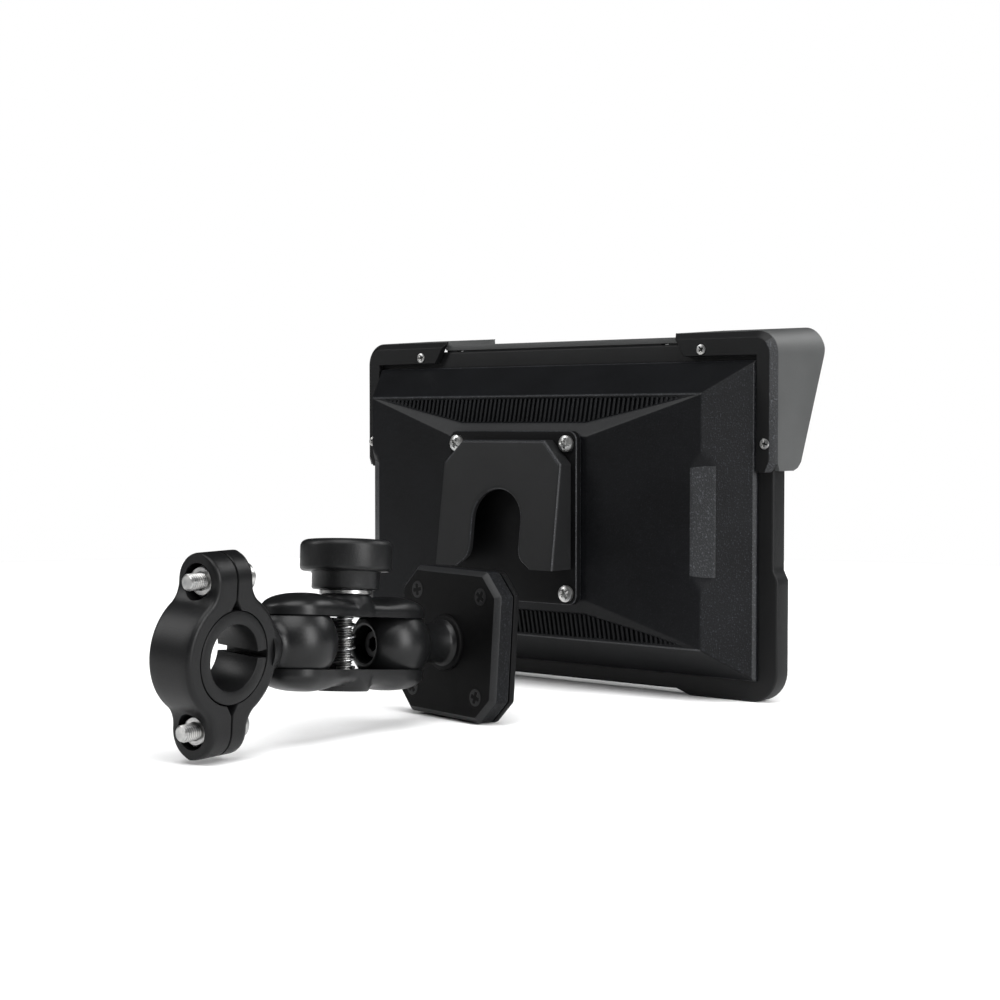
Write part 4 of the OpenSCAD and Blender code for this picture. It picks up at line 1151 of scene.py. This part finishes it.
plateCard = dict(wide=49.0, high=48.0, cut=7.3, thick=7.0, bevel=1.5, back=2.2, screw=16.0, turns=(40, 10, 75, 55))


def eightSided(w, h, c):
    a, b = w / 2, h / 2
    return np.array([(a, -b + c), (a, b - c), (a - c, b), (-a + c, b), (-a, b - c), (-a, -b + c), (-a + c, -b),
                     (a - c, -b)])


# Replaces each corner with a short curve that starts and ends a distance r from it.
def softened(outline, r=0.8, steps=3):
    p = np.asarray(outline, float)
    before, after = np.roll(p, 1, 0), np.roll(p, -1, 0)
    a = p + (before - p) / np.linalg.norm(before - p, axis=1, keepdims=True) * r
    b = p + (after - p) / np.linalg.norm(after - p, axis=1, keepdims=True) * r
    t = np.linspace(0, 1, steps + 1)[:, None, None]
    curve = (1 - t) ** 2 * a + 2 * t * (1 - t) * p + t ** 2 * b
    return curve.transpose(1, 0, 2).reshape(-1, 2)


# Outline rings: a flat bevel in front, the block's side, a shadow groove, then the backing plate.
def buildPlate():
    c = plateCard
    line = softened(eightSided(c["wide"], c["high"], c["cut"]))
    normal = outlineNormals(line)
    y0 = plateReach

    def rings(table):
        rows = []
        for y, inset in table:
            p = line - normal * inset
            rows.append(np.stack([p[:, 0], np.full(len(p), y0 + y), p[:, 1]], -1))
        return surface(np.array(rows), wrapV=True, capU=True)

    t, e = c["thick"], c["bevel"]
    block = rings([(0, e + 0.15), (0.1, e), (e - 0.15, 0.15), (e + 0.15, 0.02), (e + 0.5, 0), (t - 0.75, 0),
                   (t - 0.55, 0.1), (t - 0.45, 0.5), (t - 0.02, 0.5)])
    bossSide = [(0.05, -1.5), (8.2, -1.5), (8.75, -1.3), (9.0, -0.8), (9.0, 0.4), (0.05, 0.4)]
    boss = revolve([(r, y0 + y) for r, y in bossSide], 72, axis="y")
    obj = makePiece("ballPlate", [block, boss], "plateBall", "plate", paint["plate"], ["ball_plate"],
                    smooth=25)
    centre, facing = facesOf(obj, "plateBall")
    rim = np.maximum(np.abs(centre[:, 0]), np.abs(centre[:, 2])) > c["wide"] / 2 - 2 * c["cut"]
    repaint(obj, rim & (np.abs(facing[:, 1]) < 0.2), paint["side"])
    # painted highlight on the front bevel, lighter as if lit
    repaint(obj, rim & (np.abs(facing[:, 1]) > 0.2) & (np.abs(facing[:, 1]) < 0.93), paint["slope"])
    back = rings([(t, 0.3), (t + 0.08, 0.05), (t + 0.3, 0), (t + c["back"] - 0.4, 0), (t + c["back"] - 0.1, 0.12),
                  (t + c["back"], 0.4)])
    makePiece("backingPlate", [back], "plateBall", "plate", paint["bracket"], ["backing_plate"],
              smooth=25)
    # countersunk heads a little below the face, each in a bevelled ring
    head = crossHead(2.75, 0.3, 0.9, dome=0.1, countersunk=True)
    ringProf = [(2.85, -0.02), (3.2, -0.06), (3.45, 0.0), (3.45, 0.3), (2.85, 0.3)]
    a = np.linspace(0, 2 * math.pi, 48, endpoint=False)
    ringGrid = np.array([np.stack([r * np.cos(a), np.full(48, y), r * np.sin(a)], -1) for r, y in ringProf])
    collar = surface(ringGrid, wrapV=True, wrapU=True)
    spots = [(x, z) for x in (-c["screw"], c["screw"]) for z in (-c["screw"], c["screw"])]
    parts = [moved(spun(head, turn), (x, y0 + 0.25, z)) for (x, z), turn in zip(spots, c["turns"])]
    makePiece("plateScrews", parts, "plateBall", "plate", paint["blackScrew"], ["plate_screws"],
              smooth=28)
    makePiece("plateScrewRings", [moved(collar, (x, y0, z)) for x, z in spots], "plateBall", "plate", paint["plate"],
              smooth=30)


buildPlate()
say("balls and plate")

clamp = dict(wide=16.0, ring=18.2, sleeve=13.3, bar=9.4, lug=21.2, outY=7.9, inY=6.6, split=0.2, edge=1.5, blend=7.0,
             slit=1.8, nutFace=3.6, nutIn=1.0, nutDeep=4.0, nutFlat=4.0, tip=12.0, pocketR=5.2, pocketIn=2.4,
             pocketDeep=30, spotR=4.6, spotDeep=14, boltR=2.5, pitch=0.8, thread=0.5,
             foot=((0.05, 15.5), (9.0, 15.5), (8.6, 18.2), (8.0, 19.2), (7.5, 19.9), (0.05, 19.9)),
             head=((0.02, 0), (4.0, 0), (4.2, 0.2), (4.2, 4.6), (3.9, 4.95), (2.4, 4.95), (2.2, 2.6), (0.02, 2.6)))


# Outer line of one half from its top to its foot: down the lug's face, through a hollow fillet, round the
# ring and back. side is -1 for the cap and 1 for the half that carries the ball.
def clampOutline(side, n=140):
    c = clamp
    face = c["outY"] if side < 0 else c["inY"]
    top = c["lug"] + c["wide"] / 2
    r = c["blend"]
    # centre of the fillet that touches both the lug's face and the ring
    cy = face + r
    cz = math.sqrt((c["ring"] + r) ** 2 - cy ** 2)
    touch = math.degrees(math.atan2(cz, cy))
    upper = np.concatenate([[(face, z) for z in top - (1 - np.cos(np.linspace(0, math.pi / 2, 16))) * (top - cz - 0.4)],
                            arc(cy, cz, r, 180, 180 + touch, 12),
                            arc(0, 0, c["ring"], touch, 0, 24)[1:]])
    line = np.concatenate([upper, (upper * [1, -1])[-2::-1]])
    return line * [side, 1]


# Matching points on the inside: down the split face, then round the sleeve's seat.
def clampInner(line, side):
    c = clamp
    seat = c["sleeve"] + (0.3 if side < 0 else 0.05)
    z = line[:, 1]
    inner = np.empty_like(line)
    reach = seat - 0.01
    onSeat = np.abs(z) < reach + 2.5
    zz = np.clip(z * reach / (reach + 2.5), -reach, reach)
    inner[:, 1] = np.where(onSeat, zz, z)
    seatDepth = np.maximum(np.sqrt(np.maximum(seat ** 2 - zz ** 2, 0)), c["split"])
    inner[:, 0] = np.where(onSeat, seatDepth, c["split"]) * side
    return inner


# Each line of the half runs across its width: outside with rounded edges, down one face, back through the
# seat and up the other face. The width closes to a point over the round ends of the lugs.
def buildClampHalf(name, side, body, node):
    c = clamp
    line = clampOutline(side)
    inner = clampInner(line, side)
    normal = outlineNormals(line, closed=False)
    if np.sum(normal[len(line) // 2] * line[len(line) // 2]) < 0:
        normal = -normal
    over = np.clip(np.abs(line[:, 1]) - c["lug"], 0, None)
    half = np.sqrt(np.maximum((c["wide"] / 2) ** 2 - over ** 2, 0.01))
    edge = np.minimum(c["edge"], half * 0.6)
    rows = []

    def row(points, x):
        rows.append(np.stack([x, points[:, 0], points[:, 1]], -1))

    for a in np.radians(np.linspace(90, 0, 6)):
        row(line - normal * (edge * (1 - math.cos(a)))[:, None], -(half - edge * (1 - math.sin(a))))
    for t in (-0.5, 0, 0.5):
        row(line, half * t)
    for a in np.radians(np.linspace(0, 90, 6)):
        row(line - normal * (edge * (1 - math.cos(a)))[:, None], half - edge * (1 - math.sin(a)))
    for k in (0.35, 0.75, 0.97):
        row(line * (1 - k) + inner * k, half)
    row(inner, half - 0.3)
    row(inner, half * 0)
    row(inner, -half + 0.3)
    for k in (0.97, 0.75, 0.35):
        row(line * (1 - k) + inner * k, -half)
    parts = [surface(np.array(rows).transpose(1, 0, 2), wrapV=True, capU=True)]
    return makePiece(name, parts, "clamp", body, paint["nylon"], [node], smooth=38, weld=0.02)


# Takes closed shapes out of a piece.
def cutFrom(obj, parts):
    cutter = joined("cutter", parts, "clamp")
    tool = obj.modifiers.new("cut", "BOOLEAN")
    tool.operation, tool.solver, tool.object = "DIFFERENCE", "EXACT", cutter
    bpy.context.view_layer.update()
    depsgraph = bpy.context.evaluated_depsgraph_get()
    done = bpy.data.meshes.new_from_object(obj.evaluated_get(depsgraph))
    obj.modifiers.clear()
    old = obj.data
    obj.data = done
    bpy.data.meshes.remove(old)
    bpy.data.objects.remove(cutter)


# Solid drum up +Z from 0, used as a cutter.
def drum(radius, height):
    return revolve([(0.02, 0), (radius, 0), (radius, height), (0.02, height)], 48)


def buildClamp():
    c = clamp
    cap = buildClampHalf("clampCap", -1, "clamp_cap", "clamp_cap")
    pocket = drum(c["pocketR"], c["pocketDeep"])
    cutFrom(cap, [along(pocket, (0, -c["nutFace"] + c["pocketIn"], s * c["lug"]), "-y") for s in (-1, 1)])
    shade(cap, 38)
    body = buildClampHalf("clampBody", 1, "clamp", "clamp_body")
    spot = drum(c["spotR"], c["spotDeep"])
    cutFrom(body, [along(spot, (0, c["inY"], s * c["lug"]), "y") for s in (-1, 1)])
    shade(body, 38)
    makePiece("clampFoot", [revolve(c["foot"], 64, axis="y")], "clamp", "clamp", paint["nylon"],
              smooth=40)
    # split sleeve: a rounded section carried round the bar, open at the slit
    half = c["wide"] / 2
    gap = math.asin(c["slit"] / 2 / c["bar"])
    a = np.linspace(gap, 2 * math.pi - gap, 120)[:, None]
    r0, r1, e = c["bar"], c["sleeve"], 0.5
    oneSide = [(r1, half - e), (r1 - 0.15, half - 0.15), (r1 - e, half), (r0 + e, half), (r0 + 0.15, half - 0.15),
               (r0, half - e)]
    section = [(r1, -half + e)] + oneSide + [(r, -x) for r, x in oneSide[:0:-1]]
    rr, xx = np.array(section).T
    points = np.stack([xx + 0 * a, rr * np.cos(a), rr * np.sin(a)], -1)
    makePiece("splitSleeve", [surface(points, wrapV=True, capU=True)], "clamp", "clamp", paint["nylon"],
              ["clamp_sleeve"], smooth=30)
    for word, s in (("Top", 1), ("Bottom", -1)):
        z = s * c["lug"]
        low = word.lower()
        rod = threaded(c["boltR"], c["pitch"], c["tip"] + c["inY"] + 1.0, 10, 32, depth=c["thread"])
        rod = along(rod, (0, -c["tip"], z), "y")
        head = along(revolve(c["head"], 48), (0, c["inY"] + 0.02, z), "y")
        bolt = makePiece("clampBolt" + word, [rod, head], "clamp", "clamp_bolt_" + low, paint["thread"],
                         ["clamp_bolt_" + low], smooth=40)
        markGrooveShade(bolt, "clamp", (0, 0, z), 1, (-c["tip"] + 0.5, c["inY"]), depth=c["thread"])
        nut = hexPrism(c["nutFlat"], c["nutDeep"], c["boltR"] - 0.05)
        nut = along(nut, (0, -c["nutFace"] + c["nutIn"], z), "-y")
        makePiece("clampNut" + word, [nut], "clamp", "clamp_cap", paint["zinc"],
                  ["clamp_nut_" + low], smooth=30)


buildClamp()
say("bar clamp")

keyCard = dict(wide=12.0, high=5.2, edge=0.6, y=(4.0, 9.0), pitch=20.0, z=11.0, count=6)


def buildKeys():
    k = keyCard
    for i in range(k["count"]):
        x = (i - (k["count"] - 1) / 2) * k["pitch"]
        line = roundedRect(k["wide"] / 2, -k["high"] / 2, k["high"] / 2, 1.2, 5, 1) + [x, k["z"]]
        makePiece(f"key{i + 1}", [slabOf(line, k["y"][0], k["y"][1], 0.2, 3, k["edge"])], "monitor", f"key_{i + 1}",
                  paint["key"], [f"key_{i + 1}"], smooth=30)


buildKeys()
carried = dict(cover_glass="screen", lcd_panel="screen", panel_gasket="foam", lcd_frame="zinc", main_board="board",
               board_screws="zinc", speaker="foam", cable_socket="nylon", key_board="board")
for node, finish in carried.items():
    for slotIndex in range(len(frame["nodes"][node].material_slots)):
        frame["nodes"][node].material_slots[slotIndex].material = paint[finish]
say("keys and carried-over nodes")
